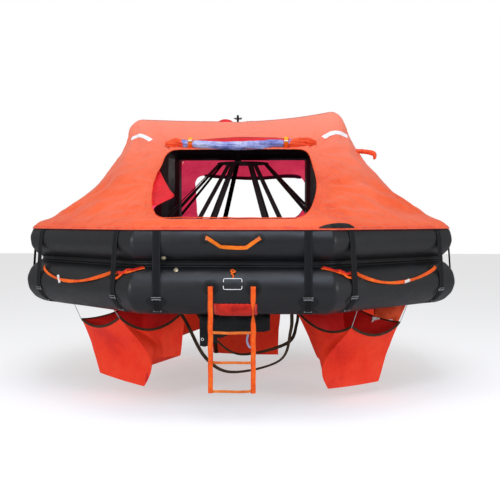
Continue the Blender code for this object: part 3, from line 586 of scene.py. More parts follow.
def patch(outline, place, thickness, centre=(0, 0), rings=5, bm=None):
    # a thin patch with a feathered edge, laid by place(x, y, height); its outline goes round
    # counter-clockwise and is convex
    bm = bm or bmesh.new()
    heart = bm.verts.new(place(*centre, thickness))
    loops = []
    for share in shares(rings)[1:]:
        height = thickness if share < 1 else thickness * 0.35
        loops.append([bm.verts.new(place(centre[0] + x * share, centre[1] + y * share, height))
                      for x, y in outline])
    base = [bm.verts.new(place(centre[0] + x, centre[1] + y, -0.0003)) for x, y in outline]
    count = len(outline)
    for k in range(count):
        n = (k + 1) % count
        bm.faces.new((heart, loops[0][k], loops[0][n]))
        for a, b in zip(loops, [*loops[1:], base], strict=False):
            bm.faces.new((a[k], b[k], b[n], a[n]))
    bm.faces.new(base[::-1])
    bmesh.ops.recalc_face_normals(bm, faces=bm.faces)
    return bm


# Stitches, by Geometry Nodes: short threads set along any line of edges.


def stitchTree():
    tree = bpy.data.node_groups.new("stitchRow", "GeometryNodeTree")
    face = tree.interface
    face.new_socket(name="Line", in_out="INPUT", socket_type="NodeSocketGeometry")
    for name, value in (("Pitch", 0.012), ("Thread length", 0.008), ("Thread radius", 0.001)):
        face.new_socket(name=name, in_out="INPUT", socket_type="NodeSocketFloat").default_value = value
    face.new_socket(name="Thread", in_out="INPUT", socket_type="NodeSocketMaterial")
    face.new_socket(name="Stitches", in_out="OUTPUT", socket_type="NodeSocketGeometry")
    given = addNode(tree, "NodeGroupInput")
    curve = addNode(tree, "GeometryNodeMeshToCurve", links={"Mesh": given.outputs["Line"]})
    spaced = addNode(tree, "GeometryNodeResampleCurve", links={
        "Curve": curve, "Length": given.outputs["Pitch"]}, mode="LENGTH")
    tangent = addNode(tree, "GeometryNodeInputTangent")
    turn = addNode(tree, "FunctionNodeAlignRotationToVector", links={"Vector": tangent}, axis="Z")
    thread = addNode(tree, "GeometryNodeMeshCylinder", {"Vertices": 6},
                     {"Radius": given.outputs["Thread radius"], "Depth": given.outputs["Thread length"]})
    placed = addNode(tree, "GeometryNodeInstanceOnPoints", links={
        "Points": spaced, "Instance": thread, "Rotation": turn})
    real = addNode(tree, "GeometryNodeRealizeInstances", links={"Geometry": placed})
    dyed = addNode(tree, "GeometryNodeSetMaterial", links={"Geometry": real,
                                                           "Material": given.outputs["Thread"]})
    out = addNode(tree, "NodeGroupOutput")
    tree.links.new(dyed.outputs[0], out.inputs[0])
    return tree


stitching = stitchTree()
stitchBox = ((-1, -1), (1, -1), (1, 1), (-1, 1), (-1, -1), (1, 1))  # round a box, then once across


def sewn(name, lines, look, body="raft", pitch=0.012, length=0.008, radius=0.001):
    # rows of stitches along the given lines, as one plain mesh
    mesh = bpy.data.meshes.new(name)
    points, edges = [], []
    for line in lines:
        start = len(points)
        points += line
        edges += [(start + k, start + k + 1) for k in range(len(line) - 1)]
    mesh.from_pydata(points, edges, [])
    obj = addObject(name, mesh)
    mod = obj.modifiers.new("stitches", "NODES")
    mod.node_group = stitching
    sizes = {"Pitch": pitch, "Thread length": length, "Thread radius": radius, "Thread": materials[look]}
    for item in stitching.interface.items_tree:
        if item.in_out == "INPUT" and item.name in sizes:
            mod[item.identifier] = sizes[item.name]
    bpy.context.view_layer.update()
    made = bpy.data.meshes.new_from_object(obj.evaluated_get(bpy.context.evaluated_depsgraph_get()))
    made.shade_smooth()
    obj.modifiers.remove(mod)
    obj.data = made
    bpy.data.meshes.remove(mesh)
    return carried(obj, body)


# Slack lines first: their routes are the same as their plain solids'.

grabLine = {"reach": 0.538, "width": 0.028, "thickness": 0.0034, "bodyRadius": 0.0120, "gap": 0.0004,
            "faces": (1, 2, 3, 5, 6, 7), "endAngle": 40, "sag": 32,
            # each line's clip: its share of the way along, its slant and its drop
            "clips": {1: (0.56, 1.0, -0.22)}, "clip": (0.30, 0.45, 1.0),
            "clipWidth": 0.026, "clipThick": 0.016,
            "twist": 38, "endTwist": 50, "padHalf": 0.075, "padSide": 0.012, "padTall": 0.052}


def grabRoute(face, count=61):
    normal, along = faceFrame(face)
    line = []
    for t in shares(count - 1):
        a = radians(grabLine["endAngle"] - grabLine["sag"] * sin(pi * t**0.85) ** 0.75)
        r = lower["radius"] + grabLine["bodyRadius"] + grabLine["gap"]
        x = grabLine["reach"] * (2 * t - 1)
        line.append(onRing(lower, normal, r, a) + along * x)
    return line


def makeGrabLines():
    for face in grabLine["faces"]:
        route = grabRoute(face)
        normal, along = faceFrame(face)
        ups = []
        for k, point in enumerate(route):
            t = k / (len(route) - 1)
            centre = normal * lower["apothem"] + along * point.dot(along) + upward * lower["z"]
            out = (point - centre).normalized()
            loose = radians(grabLine["twist"]) * sin(t * 9 + face * 1.7)
            ends = radians(grabLine["endTwist"]) * (1 - sin(pi * t)) ** 3
            ups.append(Matrix.Rotation(loose + ends, 3, along) @ out)
        bm = sweep(route, ups, strapSection(grabLine["width"], grabLine["thickness"]))
        line = piece(f"grabLine{face + 1}", bm, "webOrange")
        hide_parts(f"grab_line_{face + 1}")
        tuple(route[0])
        round(lineLength(route), 3)
        place = onTube(lower, face)
        half, side, tall = grabLine["padHalf"], grabLine["padSide"], grabLine["padTall"]
        diamond = [(half, 0), (side, tall), (-side, tall), (-half, 0), (-side, -tall), (side, -tall)]
        arc = radians(grabLine["endAngle"] - 2) * lower["radius"]
        for end, sign in (("a", -1), ("b", 1)):
            pad = patch(diamond, place, 0.0022, centre=(sign * (grabLine["reach"] - 0.030), arc))
            piece(f"grabPatch{face + 1}{end}", pad, "patchRubber")
        share, slant, drop = grabLine["clips"].get(face, grabLine["clip"])
        middle = route[int(len(route) * share)]
        lean = along * slant - upward * drop
        clip = sweep([middle - lean * 0.032, middle + lean * 0.030], [normal, normal],
                     strapSection(grabLine["clipWidth"], grabLine["clipThick"]))
        piece(f"lineClip{face + 1}", clip, "toggleWhite")


makeGrabLines()

# Round the front and rear corners the grab lines' ends are turned back and bonded, one end loose.

lineTail = {"corners": ((-112.5, 1), (-67.5, -1), (67.5, 1), (112.5, -1)), "width": 0.021, "thickness": 0.003,
            # look, turn off the corner at its two ends, height there in degrees up the tube, rise off it
            "ribbons": (("webOrange", -6.0, 2.1, 32, 54, 0.0045), ("pouchRed", -2.6, 1.7, 44, 57, 0.0085),
                        ("webOrange", -1.8, -5.6, 43, 20, 0.0085), ("pouchRed", -5.2, -2.2, 36, 41, 0.0115))}


def makeLineTails():
    bodies = {}
    for corner, side in lineTail["corners"]:
        for look, first, last, low, high, rise in lineTail["ribbons"]:
            line, outs = [], []
            for t in shares(12):
                turn = radians(corner + side * (first + (last - first) * t))
                a = radians(low + (high - low) * t + 2.5 * sin(t * 7 + corner))
                direction = Vector((cos(turn), sin(turn), 0))
                r = lower["radius"] + rise
                line.append(direction * (lower["apothem"] + r * cos(a)) * octagonReach(direction)
                            + upward * (lower["z"] + r * sin(a)))
                outs.append((direction * cos(a) + upward * sin(a)).normalized())
            bodies[look] = sweep(line, outs, strapSection(lineTail["width"], lineTail["thickness"]),
                                 bm=bodies.get(look))
    piece("lineTails", bodies["webOrange"], "webOrange")
    piece("lineTailWraps", bodies["pouchRed"], "pouchRed")


makeLineTails()

rightingWeb = {"width": 0.030, "thickness": 0.003, "ends": floorBox[0].z - 0.0004, "twist": 48,
               # name, place along the raft, left and right ends, lowest point
               "webs": (("near", -1.22, -0.46, 0.46, -0.64), ("far", -0.73, -0.40, 0.52, -0.57))}


def rightingRoute(y, left, right, low, count=81):
    top = rightingWeb["ends"]
    route = [(left, y, top), (left, y, top - 0.03), (left, y, top - 0.06), (left + 0.05, y, top - 0.15),
             (left + 0.20, y, low + 0.12), (left + 0.42, y, low), (right - 0.10, y, low + 0.10),
             (right - 0.01, y, top - 0.20), (right, y, top - 0.06), (right, y, top - 0.03), (right, y, top)]
    return smoothLine(route, count)


def makeRightingWebs():
    across = Vector((0, 1, 0))
    for tag, y, left, right, low in rightingWeb["webs"]:
        route = rightingRoute(y, left, right, low)
        ups = []
        for k in range(len(route)):
            free = sin(pi * k / (len(route) - 1))
            twist = radians(rightingWeb["twist"]) * sin(k * 0.11 + y * 3) * free
            ups.append(Matrix.Rotation(twist, 3, aheadAt(route, k).normalized()) @ across)
        bm = sweep(route, ups, strapSection(rightingWeb["width"], rightingWeb["thickness"]))
        web = piece(f"rightingWeb{tag.capitalize()}", bm, "webBrown")
        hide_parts(f"righting_web_{tag}")
        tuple(route[0])
        round(lineLength(route), 3)


makeRightingWebs()
print("lines laid")


# The two buoyancy tubes.

tubeSkin = {"columnsPerFace": 60, "around": 56, "tapeHalf": 0.028, "tapeRise": 0.0014,
            "pucker": 0.0030, "puckerReach": 0.10, "unevenness": 0.0022}


def faceColumns():
    # (face, place along it) from corner to corner, closer together near the corners
    half = tan(faceTurn / 2)
    out = []
    for face in range(8):
        for k in range(tubeSkin["columnsPerFace"]):
            t = -1 + 2 * k / tubeSkin["columnsPerFace"]
            out.append((face, half * (0.35 * t + 0.65 * sin(pi / 2 * t))))
    return out


def makeTube(name, tube, node):
    bm = bmesh.new()
    half = tan(faceTurn / 2) * tube["apothem"]
    rings = []
    for face, x in faceColumns():
        normal, along = faceFrame(face)
        direction = (normal + along * x).normalized()
        reach = octagonReach(direction)
        fromCorner = half - abs(x) * tube["apothem"]
        tape = tubeSkin["tapeRise"] if fromCorner < tubeSkin["tapeHalf"] else 0.0
        near = exp(-((fromCorner / tubeSkin["puckerReach"]) ** 2))
        ring = []
        for m in range(tubeSkin["around"]):
            a = tau * m / tubeSkin["around"]
            inward = max(0.0, -cos(a))
            pucker = near * tubeSkin["pucker"] * sin(a * 13 + face) * (0.35 + inward)
            base = direction * (tube["apothem"] + tube["radius"] * cos(a)) * reach
            uneven = noise.noise(base * 2.6 + upward * (a * 0.7 + face)) * tubeSkin["unevenness"]
            r = tube["radius"] - 0.0012 + tape + pucker + uneven
            point = direction * (tube["apothem"] + r * cos(a)) * reach
            ring.append(bm.verts.new(point + upward * (tube["z"] + r * sin(a))))
        rings.append(ring)
    count = tubeSkin["around"]
    for k in range(len(rings)):
        a, b = rings[k], rings[(k + 1) % len(rings)]
        for m in range(count):
            n = (m + 1) % count
            bm.faces.new((a[m], b[m], b[n], a[n]))
    bmesh.ops.recalc_face_normals(bm, faces=bm.faces)
    tubeShown = piece(name, bm, "tubeRubber")
    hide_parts(node)
    return tubeShown


makeTube("lowerBuoyancyTube", lower, "lower_tube")
makeTube("upperBuoyancyTube", upper, "upper_tube")
print("tubes inflated")


# The canopy: a sheet stretched from the upper tube to the ridge over the arch.

canopy = {
    "hemAngle": 31, "leaveAngle": 68, "hemLift": 0.0078, "overArch": 0.022, "thickness": 0.003,
    "crestZ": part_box("canopy_front")[1].z - 0.093, "crestHalf": 1.045, "crestLean": -0.065,
    "crestCorner": 0.13, "crestDrop": 0.16, "riseLeft": 0.022, "riseRight": 0.090, "ridgeGap": 0.0004,
    "cells": (14, 8, 4), "rows": 12, "hemSteps": 7, "finer": 6,
    "entryCorners": ((0.635, 1.27, 0.085), (0.715, 0.925, 0.13), (0.605, 0.638, 0.14)), "entryLean": -0.025,
    "entryFrom": -0.40, "slingSlot": 0.045,
    "hemPucker": 0.0035, "puckerShare": 0.10, "unevenness": 0.006, "crumple": 0.0045, "fineCrumple": 0.0022,
}
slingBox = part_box("lifting_sling")
slingX = (slingBox[0].x + slingBox[1].x) / 2
arch = {"radius": (archBox[1].y - archBox[0].y) / 2}
arch["z"] = archBox[1].z - arch["radius"]
arch["legX"] = archBox[1].x - arch["radius"]


def crestPoint(x):
    inner = canopy["crestHalf"] - canopy["crestCorner"]
    rise = canopy["riseRight"] if x > 0 else canopy["riseLeft"]
    top = canopy["crestZ"] + rise * min(1.0, (x / inner) ** 2)
    if abs(x) <= inner:
        return (x + canopy["crestLean"], -canopy["ridgeGap"], top)
    a = pi / 2 * (abs(x) - inner) / canopy["crestCorner"]
    reach = inner + canopy["crestCorner"] * sin(a)
    drop = canopy["crestDrop"] * (1 - cos(a))
    return (copysign(reach, x) + canopy["crestLean"], -canopy["ridgeGap"], top - drop)


def startGrid(finer):
    front, diagonal, side = (c * finer for c in canopy["cells"])
    rows, steps = canopy["rows"] * finer, canopy["hemSteps"]
    slope = tan(faceTurn / 2)
    runs = [((-1, 0), (-1, -slope), side), ((-1, -slope), (-slope, -1), diagonal),
            ((-slope, -1), (slope, -1), front), ((slope, -1), (1, -slope), diagonal),
            ((1, -slope), (1, 0), side)]
    plan = []
    for (x0, y0), (x1, y1), count in runs:
        plan += [(x0 + (x1 - x0) * k / count, y0 + (y1 - y0) * k / count) for k in range(count)]
    plan.append((1, 0))
    half = canopy["crestHalf"]
    marks = np.cumsum([0, side, diagonal, front, diagonal, side])
    crestAt = np.interp(np.arange(len(plan)), marks, [-half, -half + 0.06, -0.70, 0.70, half - 0.06, half])
    grid = np.zeros((len(plan), steps + rows + 1, 3))
    hemRadius = upper["radius"] + canopy["hemLift"]
    for i, (px, py) in enumerate(plan):
        direction = Vector((px, py, 0)).normalized()
        flat = direction * octagonReach(direction)
        for j in range(steps):
            share = j / (steps - 1)
            a = radians(canopy["hemAngle"] + (canopy["leaveAngle"] - canopy["hemAngle"]) * share)
            out = upper["apothem"] + hemRadius * cos(a)
            grid[i, j] = (flat.x * out, flat.y * out, upper["z"] + hemRadius * sin(a))
        ridge = np.array(crestPoint(crestAt[i]))
        over = ridge + (0, -0.075, -0.012)
        for j in range(rows):
            grid[i, steps + j] = grid[i, steps - 1] + (over - grid[i, steps - 1]) * (j + 1) / rows
        grid[i, -1] = ridge
    return grid


def overArch(points, clearance):
    # lowest height that keeps clear of the arch
    span = (arch["radius"] + clearance) ** 2 - points[..., 1] ** 2
    under = (span > 0) & (np.abs(points[..., 0]) < arch["legX"])
    return np.where(under, arch["z"] + np.sqrt(np.maximum(span, 0)), -1)


def relax(grid, rounds):
    low, high = canopy["hemSteps"], grid.shape[1] - 2
    for _ in range(rounds):
        middle = grid[:, low:high]
        around = np.concatenate([middle[1:2], middle, middle[-2:-1]])
        across = (around[:-2] + around[2:]) / 2
        lengthwise = (grid[:, low - 1 : high - 1] + grid[:, low + 1 : high + 1]) / 2
        grid[:, low:high] = 0.45 * across + 0.55 * lengthwise
        middle[..., 2] = np.maximum(middle[..., 2], overArch(middle, canopy["overArch"]))
        grid[0, :, 1] = grid[-1, :, 1] = -canopy["ridgeGap"]
    return grid


def fineGrid():
    coarse = relax(startGrid(1), 400)
    finer, steps = canopy["finer"], canopy["hemSteps"]
    fine = startGrid(finer)
    cloth = coarse[:, steps - 1 :]
    across, upTo = np.arange(cloth.shape[0]), np.arange(cloth.shape[1])
    columnsAt = np.arange(fine.shape[0]) / finer
    rowsAt = np.arange(fine.shape[1] - steps + 1) / finer
    for axis in range(3):
        wide = np.array([np.interp(columnsAt, across, cloth[:, j, axis]) for j in upTo])
        full = np.array([np.interp(rowsAt, upTo, wide[:, i]) for i in range(fine.shape[0])])
        fine[:, steps:-1, axis] = full[:, 1:-1]
    return relax(fine, 160)


# Tension folds fan out from where the sheet is pulled: that place, the way they run, how far, how deep
# and how many.
foldFans = [
    {"at": (0.60, -0.62, 1.27), "toward": (0.75, 0.45, 0.35), "reach": 0.30, "depth": 0.013, "folds": 9},
    {"at": (0.66, -1.10, 0.93), "toward": (1.0, 0.55, -0.25), "reach": 0.42, "depth": 0.012, "folds": 8},
    {"at": (0.57, -1.55, 0.67), "toward": (1.0, 0.20, 0.10), "reach": 0.45, "depth": 0.012, "folds": 9},
    {"at": (1.02, -0.03, 1.50), "toward": (0.25, -0.75, -0.65), "reach": 0.50, "depth": 0.010, "folds": 7},
    {"at": (1.74, -0.74, 0.63), "toward": (-0.85, 0.30, 0.60), "reach": 0.38, "depth": 0.010, "folds": 8},
    {"at": (0.74, -1.74, 0.63), "toward": (-0.10, 0.80, 0.60), "reach": 0.30, "depth": 0.009, "folds": 8},
]


def foldDepth(point):
    total = 0.0
    wander = noise.noise(point * 2.3) * 1.6
    for n, fan in enumerate(foldFans):
        for hand in (-1, 1):
            mirror = Vector((hand, 1, 1))
            away = point - Vector(fan["at"]) * mirror
            distance = away.length
            if distance > fan["reach"] * 4 or distance < 0.001:
                continue
            toward = (Vector(fan["toward"]) * mirror).normalized()
            ahead = away.dot(toward) / distance
            if ahead < 0.15:
                continue
            side = toward.cross(Vector((0.2 * hand, -0.6, 0.8)).normalized()).normalized()
            angle = atan2(away.dot(side), away.dot(toward))
            grow = distance / fan["reach"] * exp(1 - distance / fan["reach"])
            wave = sin(fan["folds"] * angle * 1.6 + wander + n * 1.3 + hand * 0.9)
            total += fan["depth"] * grow * ahead**2 * (abs(wave) ** 0.8 * copysign(1, wave) - 0.1)
    return total


def hangingDepth(point, share):
    # small puckers where the hem is bonded, and slow unevenness all over; share goes from 0 at the hem
    # to 1 at the ridge
    turn = atan2(point.y, point.x)
    pucker = canopy["hemPucker"] * sin(turn * 62 + noise.noise(point * 3) * 3)
    pucker *= exp(-((share / canopy["puckerShare"]) ** 2))
    slow = canopy["unevenness"] * noise.noise(point * 3.1 + Vector((7, 1, 3)))
    stretch = Vector((point.x * 3.0, point.y * 3.0, point.z * 9.0))
    crumple = canopy["crumple"] * noise.noise(stretch * 1.5)
    crumple += canopy["fineCrumple"] * noise.noise(stretch * 3.7)
    return pucker + slow + crumple


def foldedSheet():
    grid = fineGrid()
    steps = canopy["hemSteps"]
    across = np.gradient(grid, axis=0)
    lengthwise = np.gradient(grid, axis=1)
    normals = np.cross(across, lengthwise)
    normals /= np.maximum(np.linalg.norm(normals, axis=2, keepdims=True), 1e-9)
    flip = np.where(normals[:, :, 2:3] < 0, -1.0, 1.0)
    normals = normals * flip
    folded = grid.copy()
    columns, rows = grid.shape[:2]
    for i in range(columns):
        edge = min(1.0, min(i, columns - 1 - i) / 6)
        for j in range(steps - 3, rows):
            share = (j - steps) / (rows - steps)
            ends = min(1.0, max(0.0, (j - steps + 3) / 8)) * min(1.0, (rows - 1 - j) / 5) * edge
            point = Vector(grid[i, j])
            depth = (foldDepth(point) + hangingDepth(point, max(share, 0))) * ends
            folded[i, j] = grid[i, j] + normals[i, j] * depth
    inner = folded[:, steps:]
    inner[:, :, 2] = np.maximum(inner[:, :, 2], overArch(inner, canopy["overArch"] - 0.012))
    return folded


def entryOutline(steps=8, grow=0.0):
    right = [(x + grow, z) for x, z, _ in canopy["entryCorners"]]
    right[0] = (right[0][0], right[0][1] + grow)
    right[2] = (right[2][0], right[2][1] - grow)
    lean = canopy["entryLean"]
    ring = [Vector((lean + x, z)) for x, z in right] + [Vector((lean - x, z)) for x, z in right[::-1]]
    radii = [r + grow for _, _, r in canopy["entryCorners"]]
    radii += radii[::-1]
    out = []
    for k, corner in enumerate(ring):
        before, after = ring[k - 1], ring[(k + 1) % len(ring)]
        start = corner + (before - corner).normalized() * radii[k]
        end = corner + (after - corner).normalized() * radii[k]
        for s in range(steps):
            t = s / (steps - 1)
            out.append(start.lerp(corner, t).lerp(corner.lerp(end, t), t))
    return out


def cutEntry(bm):
    # cuts the entrance with one upright plane after another; what stays inside them all goes
    outline = entryOutline()
    inside = set()
    for face in bm.faces:
        spot = face.calc_center_median()
        if spot.y < canopy["entryFrom"] and abs(spot.x) < 0.84 and 0.60 < spot.z < 1.33:
            inside.add(face)
    centre = Vector((0, 0, 0.95))
    for k, a in enumerate(outline):
        b = outline[(k + 1) % len(outline)]
        if (b - a).length < 0.0005:
            continue
        out = Vector((b.y - a.y, 0, a.x - b.x)).normalized()
        at = Vector((a.x, 0, a.y))
        if out.dot(at - centre) < 0:
            out = -out
        geometry = {*inside}
        for face in inside:
            geometry.update(face.edges)
            geometry.update(face.verts)
        cut = bmesh.ops.bisect_plane(bm, geom=list(geometry), dist=0.0004, plane_co=at, plane_no=out)
        inside = {g for g in cut["geom"] if isinstance(g, bmesh.types.BMFace)
                  and out.dot(g.calc_center_median() - at) < 0}
    bmesh.ops.delete(bm, geom=list(inside), context="FACES")
    bmesh.ops.remove_doubles(bm, verts=bm.verts, dist=0.0015)


folded = foldedSheet()


def sheetMesh():
    bm = woven(folded)
    if sum(f.normal.z * f.calc_area() for f in bm.faces) < 0:
        bmesh.ops.reverse_faces(bm, faces=bm.faces)
    return bm


whole = sheetMesh()
canopyTree = BVHTree.FromBMesh(whole)
whole.free()


def makeCanopy():
    for name, node, rear in (("canopyFront", "canopy_front", False), ("canopyRear", "canopy_rear", True)):
        bm = sheetMesh()
        cutEntry(bm)
        # a slot in the ridge lets the sling through
        spots = [(f, f.calc_center_median()) for f in bm.faces]
        slot = [f for f, spot in spots if abs(spot.y) < canopy["slingSlot"]
                and abs(spot.x - slingX) < canopy["slingSlot"] and spot.z > 1.5]
        bmesh.ops.delete(bm, geom=slot, context="FACES")
        if rear:
            bmesh.ops.scale(bm, vec=(1, -1, 1), verts=bm.verts)
            bmesh.ops.reverse_faces(bm, faces=bm.faces)
        area = areaOf(bm)
        shown = piece(name, bm, ["canopyNylon", "canopyLining"], sharp=60)
        thicken(shown, canopy["thickness"], lined=True)
        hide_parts(node)


def clothPoint(hit, normal, lift, rear):
    # a place on the cloth's outer face; the rear canopy mirrors the front one
    point = hit + normal * (canopy["thickness"] / 2 + lift)
    if rear:
        point.y, normal.y = -point.y, -normal.y
    return point, normal


def onCanopy(x, y, lift=0.0):
    # a point on the canopy's outer face, found from above, and the way out there
    hit, normal, _, _ = canopyTree.ray_cast(Vector((x, -abs(y), 3)), Vector((0, 0, -1)))
    return clothPoint(hit, -normal if normal.z < 0 else normal, lift, y > 0)


def fromFront(x, z, lift=0.0, rear=False):
    # the same, found along Y from the front or the rear
    hit, normal, _, _ = canopyTree.ray_cast(Vector((x, -3, z)), Vector((0, 1, 0)))
    return clothPoint(hit, -normal if normal.y > 0 else normal, lift, rear)


makeCanopy()
print("canopy stretched")


# The frame's own nodes that stay in sight get the finish of the real stuff.

kept = {
    "webBlack": ["lifting_bridle", "lifting_sling", "cylinder_band_left", "cylinder_band_right",
                 *(f"corner_strap_{k}" for k in range(1, 9))],
    "tubeRubber": ["thwart", "arch_tube"],
    "floorCloth": ["floor"],
    "steel": ["lifting_shackle"],
    "patchRubber": ["ladder_anchor_left", "ladder_anchor_right"],
    "cylinderPaint": ["gas_cylinder"],
    "brass": ["valve_upper", "valve_lower"],
    "plateBlack": ["sign_plate"],
}
for look, names in kept.items():
    for node in names:
        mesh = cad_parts[node].data
        mesh.materials.clear()
        mesh.materials.append(materials[look])


# Corner straps: edge stitching, the buckled ends under the tube and the chafe patches behind them.

cornerStrap = {"fromCorner": 0.13, "width": 0.062, "lift": 0.0042, "facet": 9.0, "rowIn": 0.006,
               "endFrom": -0.20, "endTo": -0.055, "endWidth": 0.072, "sliderWire": 0.0026, "boxIn": 0.016,
               "chafe": (0.16, 0.20), "chafeAt": -0.150, "chafeRise": 0.0009, "endRise": 0.0062}


def strapAcross(hand):
    return hand * (lower["apothem"] * tan(faceTurn / 2) - cornerStrap["fromCorner"])


def strapLine(face, across, lift):
    line = []
    for tube, first, last in ((upper, 5, 0), (lower, 0, -7)):
        place = onTube(tube, face)
        for k in range(first, last - 1, -1):
            line.append(place(across, radians(cornerStrap["facet"] * (k + 0.5)) * tube["radius"], lift))
    return line


def makeStrapEnds():
    rows, seams, ends, sliders = [], [], bmesh.new(), bmesh.new()
    for face in range(8):
        place = onTube(lower, face)
        for hand in (-1, 1):
            middle = strapAcross(hand)
            for edge in (-1, 1):
                shift = edge * (cornerStrap["width"] / 2 - cornerStrap["rowIn"])
                rows.append(strapLine(face, middle + shift, cornerStrap["lift"]))
            arc = (cornerStrap["endFrom"] + cornerStrap["endTo"]) / 2
            wide, tall = cornerStrap["endWidth"], cornerStrap["endTo"] - cornerStrap["endFrom"]
            patch(roundedRect(wide, tall, 0.004), place, cornerStrap["endRise"], centre=(middle, arc),
                  rings=3, bm=ends)
            boxes = roundedRect(wide - cornerStrap["boxIn"], tall - cornerStrap["boxIn"], 0.003)
            ring = [place(middle + x, arc + y, 0.0072) for x, y in [*boxes, boxes[0]]]
            seams += [ring, [ring[2], ring[12]], [ring[7], ring[17]]]
            half = wide / 2 + 0.002
            wire = [place(middle + x, cornerStrap["endTo"] + y, 0.0085)
                     for x, y in ((-half, 0.006), (half, 0.006), (half, -0.012), (-half, -0.012))]
            outs = [tubeOut(face, cornerStrap["endTo"], lower)] * 4
            sweep(wire, outs, roundSection(cornerStrap["sliderWire"], 8), closed=True, bm=sliders)
    piece("strapEnds", ends, "webBlack")
    piece("strapSliders", sliders, "steel")
    sewn("strapStitches", rows, "threadGrey", pitch=0.009, length=0.006, radius=0.0007)
    sewn("strapBoxStitches", seams, "threadWhite", pitch=0.013, length=0.009, radius=0.0013)


makeStrapEnds()


def makeChafePatches():
    # wide rubber patches on the lower tube where the straps turn under
    pads = bmesh.new()
    for face in range(8):
        place = onTube(lower, face)
        for hand in (-1, 1):
            patch(roundedRect(*cornerStrap["chafe"], 0.045, 6), place, cornerStrap["chafeRise"],
                  centre=(strapAcross(hand), cornerStrap["chafeAt"]), rings=4, bm=pads)
    piece("chafePatches", pads, "patchRubber")


makeChafePatches()
print("straps finished")


# The canopy's trimmings: tapes and hems sewn on it.

trim = {"hemBand": 0.034, "hemRise": 0.0022, "binding": 0.0075, "seam": 0.030, "lift": 0.0008,
        "hemRows": 0.011, "entryRows": (0.020, 0.045), "step": 0.02, "ridgeReach": 1.845, "ridgeGap": 0.055}
sewing = {"pitch": 0.013, "length": 0.008, "radius": 0.0008}  # the canopy's orange seams


def runOnFront(points, count, lift, rear=False):
    # a smooth run over the canopy through (x, z) places, with the way out at each
    flat = smoothLine(upright(points), count)
    line, outs = [], []
    for p in flat:
        point, normal = fromFront(p.x, p.z, lift, rear)
        line.append(point)
        outs.append(normal)
    return line, outs


def hemRing(angle, lift, steps=14):
    # once round the canopy's lower edge
    ring, outs = [], []
    a = radians(angle)
    r = upper["radius"] + canopy["hemLift"] + lift
    half = tan(faceTurn / 2)
    for face in range(8):
        normal, along = faceFrame(face)
        for k in range(steps):
            direction = (normal + along * half * (2 * k / steps - 1)).normalized()
            out = direction * octagonReach(direction)
            ring.append(onRing(upper, out, r, a))
            outs.append((out.normalized() * cos(a) + upward * sin(a)).normalized())
    return ring, outs


def makeHem():
    band = bmesh.new()
    radius = upper["radius"] + canopy["hemLift"]
    wide = trim["hemBand"]
    angle = canopy["hemAngle"] + degrees(wide / 2 / radius) - 0.6
    ring, outs = hemRing(angle, trim["hemRise"])
    sweep(ring, outs, strapSection(wide, 0.0024), closed=True, bm=band)
    piece("hemBand", band, "canopyEdge")
    rows = []
    for shift in (-trim["hemRows"], trim["hemRows"]):
        line, _ = hemRing(angle + degrees(shift / radius), trim["hemRise"] + 0.0015)
        rows.append([*line, line[0]])
    sewn("hemStitches", rows, "threadWhite", pitch=0.014, length=0.008, radius=0.0008)


makeHem()


def entryEdge(rear, grow, lift):
    line, last = [], None
    for p in entryOutline(steps=10, grow=grow):
        if last is not None and (p - last).length < 0.004:
            continue  # too near the last one
        last = p
        line.append(fromFront(p.x, max(p.y, upper["z"] + upper["radius"] + 0.012), lift, rear)[0])
    return line


def evenly(line, spacing):
    # the same closed run with even steps, so that long straight stretches still follow the cloth
    fine = []
    for a, b in zip(line, [*line[1:], line[0]], strict=True):
        count = max(1, round((b - a).length / spacing))
        fine += [a.lerp(b, k / count) for k in range(count)]
    return fine


def settle(line, lift, rear=False):
    # each point back on the cloth, straight along its way out
    points, outs = [], []
    for p in line:
        at = Vector((p.x, -abs(p.y), p.z))
        hit, normal, _, _ = canopyTree.find_nearest(at)
        if normal.z < 0 and normal.y > 0:
            normal = -normal
        if normal.dot(Vector((0, -0.6, 0.8))) < 0:
            normal = -normal
        point, normal = clothPoint(hit, normal, lift, rear)
        points.append(point)
        outs.append(normal)
    return points, outs


def makeEntryTrim():
    for tag, rear in entrances:
        line, outs = settle(evenly(entryEdge(rear, 0.0, -0.0005), trim["step"]), -0.0005, rear)
        bead = sweep(line, outs, roundSection(trim["binding"] / 2 + 0.001, 8), closed=True)
        piece(f"entryBinding{tag}", bead, "canopyEdge")
        rows = []
        for grow in trim["entryRows"]:
            row, _ = settle(evenly(entryEdge(rear, grow, 0.0), trim["step"]), 0.0006, rear)
            rows.append([*row, row[0]])
        sewn(f"entryStitches{tag}", rows, "threadOrange", **sewing)


makeEntryTrim()


def makeRidgeSeam():
    # the tape over the join of the canopy's halves, from tube to tube
    line = []
    for k in range(121):
        point, _ = onCanopy(trim["ridgeReach"] * (k / 60 - 1), -0.016, trim["lift"])
        line.append(Vector((point.x, 0, point.z + 0.0015)))
    for hand, name in ((-1, "Left"), (1, "Right")):
        part = [p for p in line if (p.x - slingX) * hand > trim["ridgeGap"]]
        outs = []
        for k, p in enumerate(part):
            ahead = aheadAt(part, k)
            outs.append(Vector((-ahead.z, 0, ahead.x)).normalized())
        tape = sweep(part, outs, strapSection(trim["seam"], 0.0022))
        piece(f"ridgeTape{name}", tape, "canopyEdge")
        rows = [[p + out * 0.0014 + Vector((0, y, 0)) for p, out in zip(part, outs, strict=True)]
                for y in (-0.010, 0.010)]
        sewn(f"ridgeStitches{name}", rows, "threadOrange", **sewing)


makeRidgeSeam()

tapes = {"width": 0.043, "thickness": 0.0012,
         "runs": [[(-1.06, 1.405), (-0.98, 1.432), (-0.91, 1.410), (-0.845, 1.372)],
                  [(0.760, 1.392), (0.840, 1.440), (0.910, 1.452), (1.000, 1.425)]]}


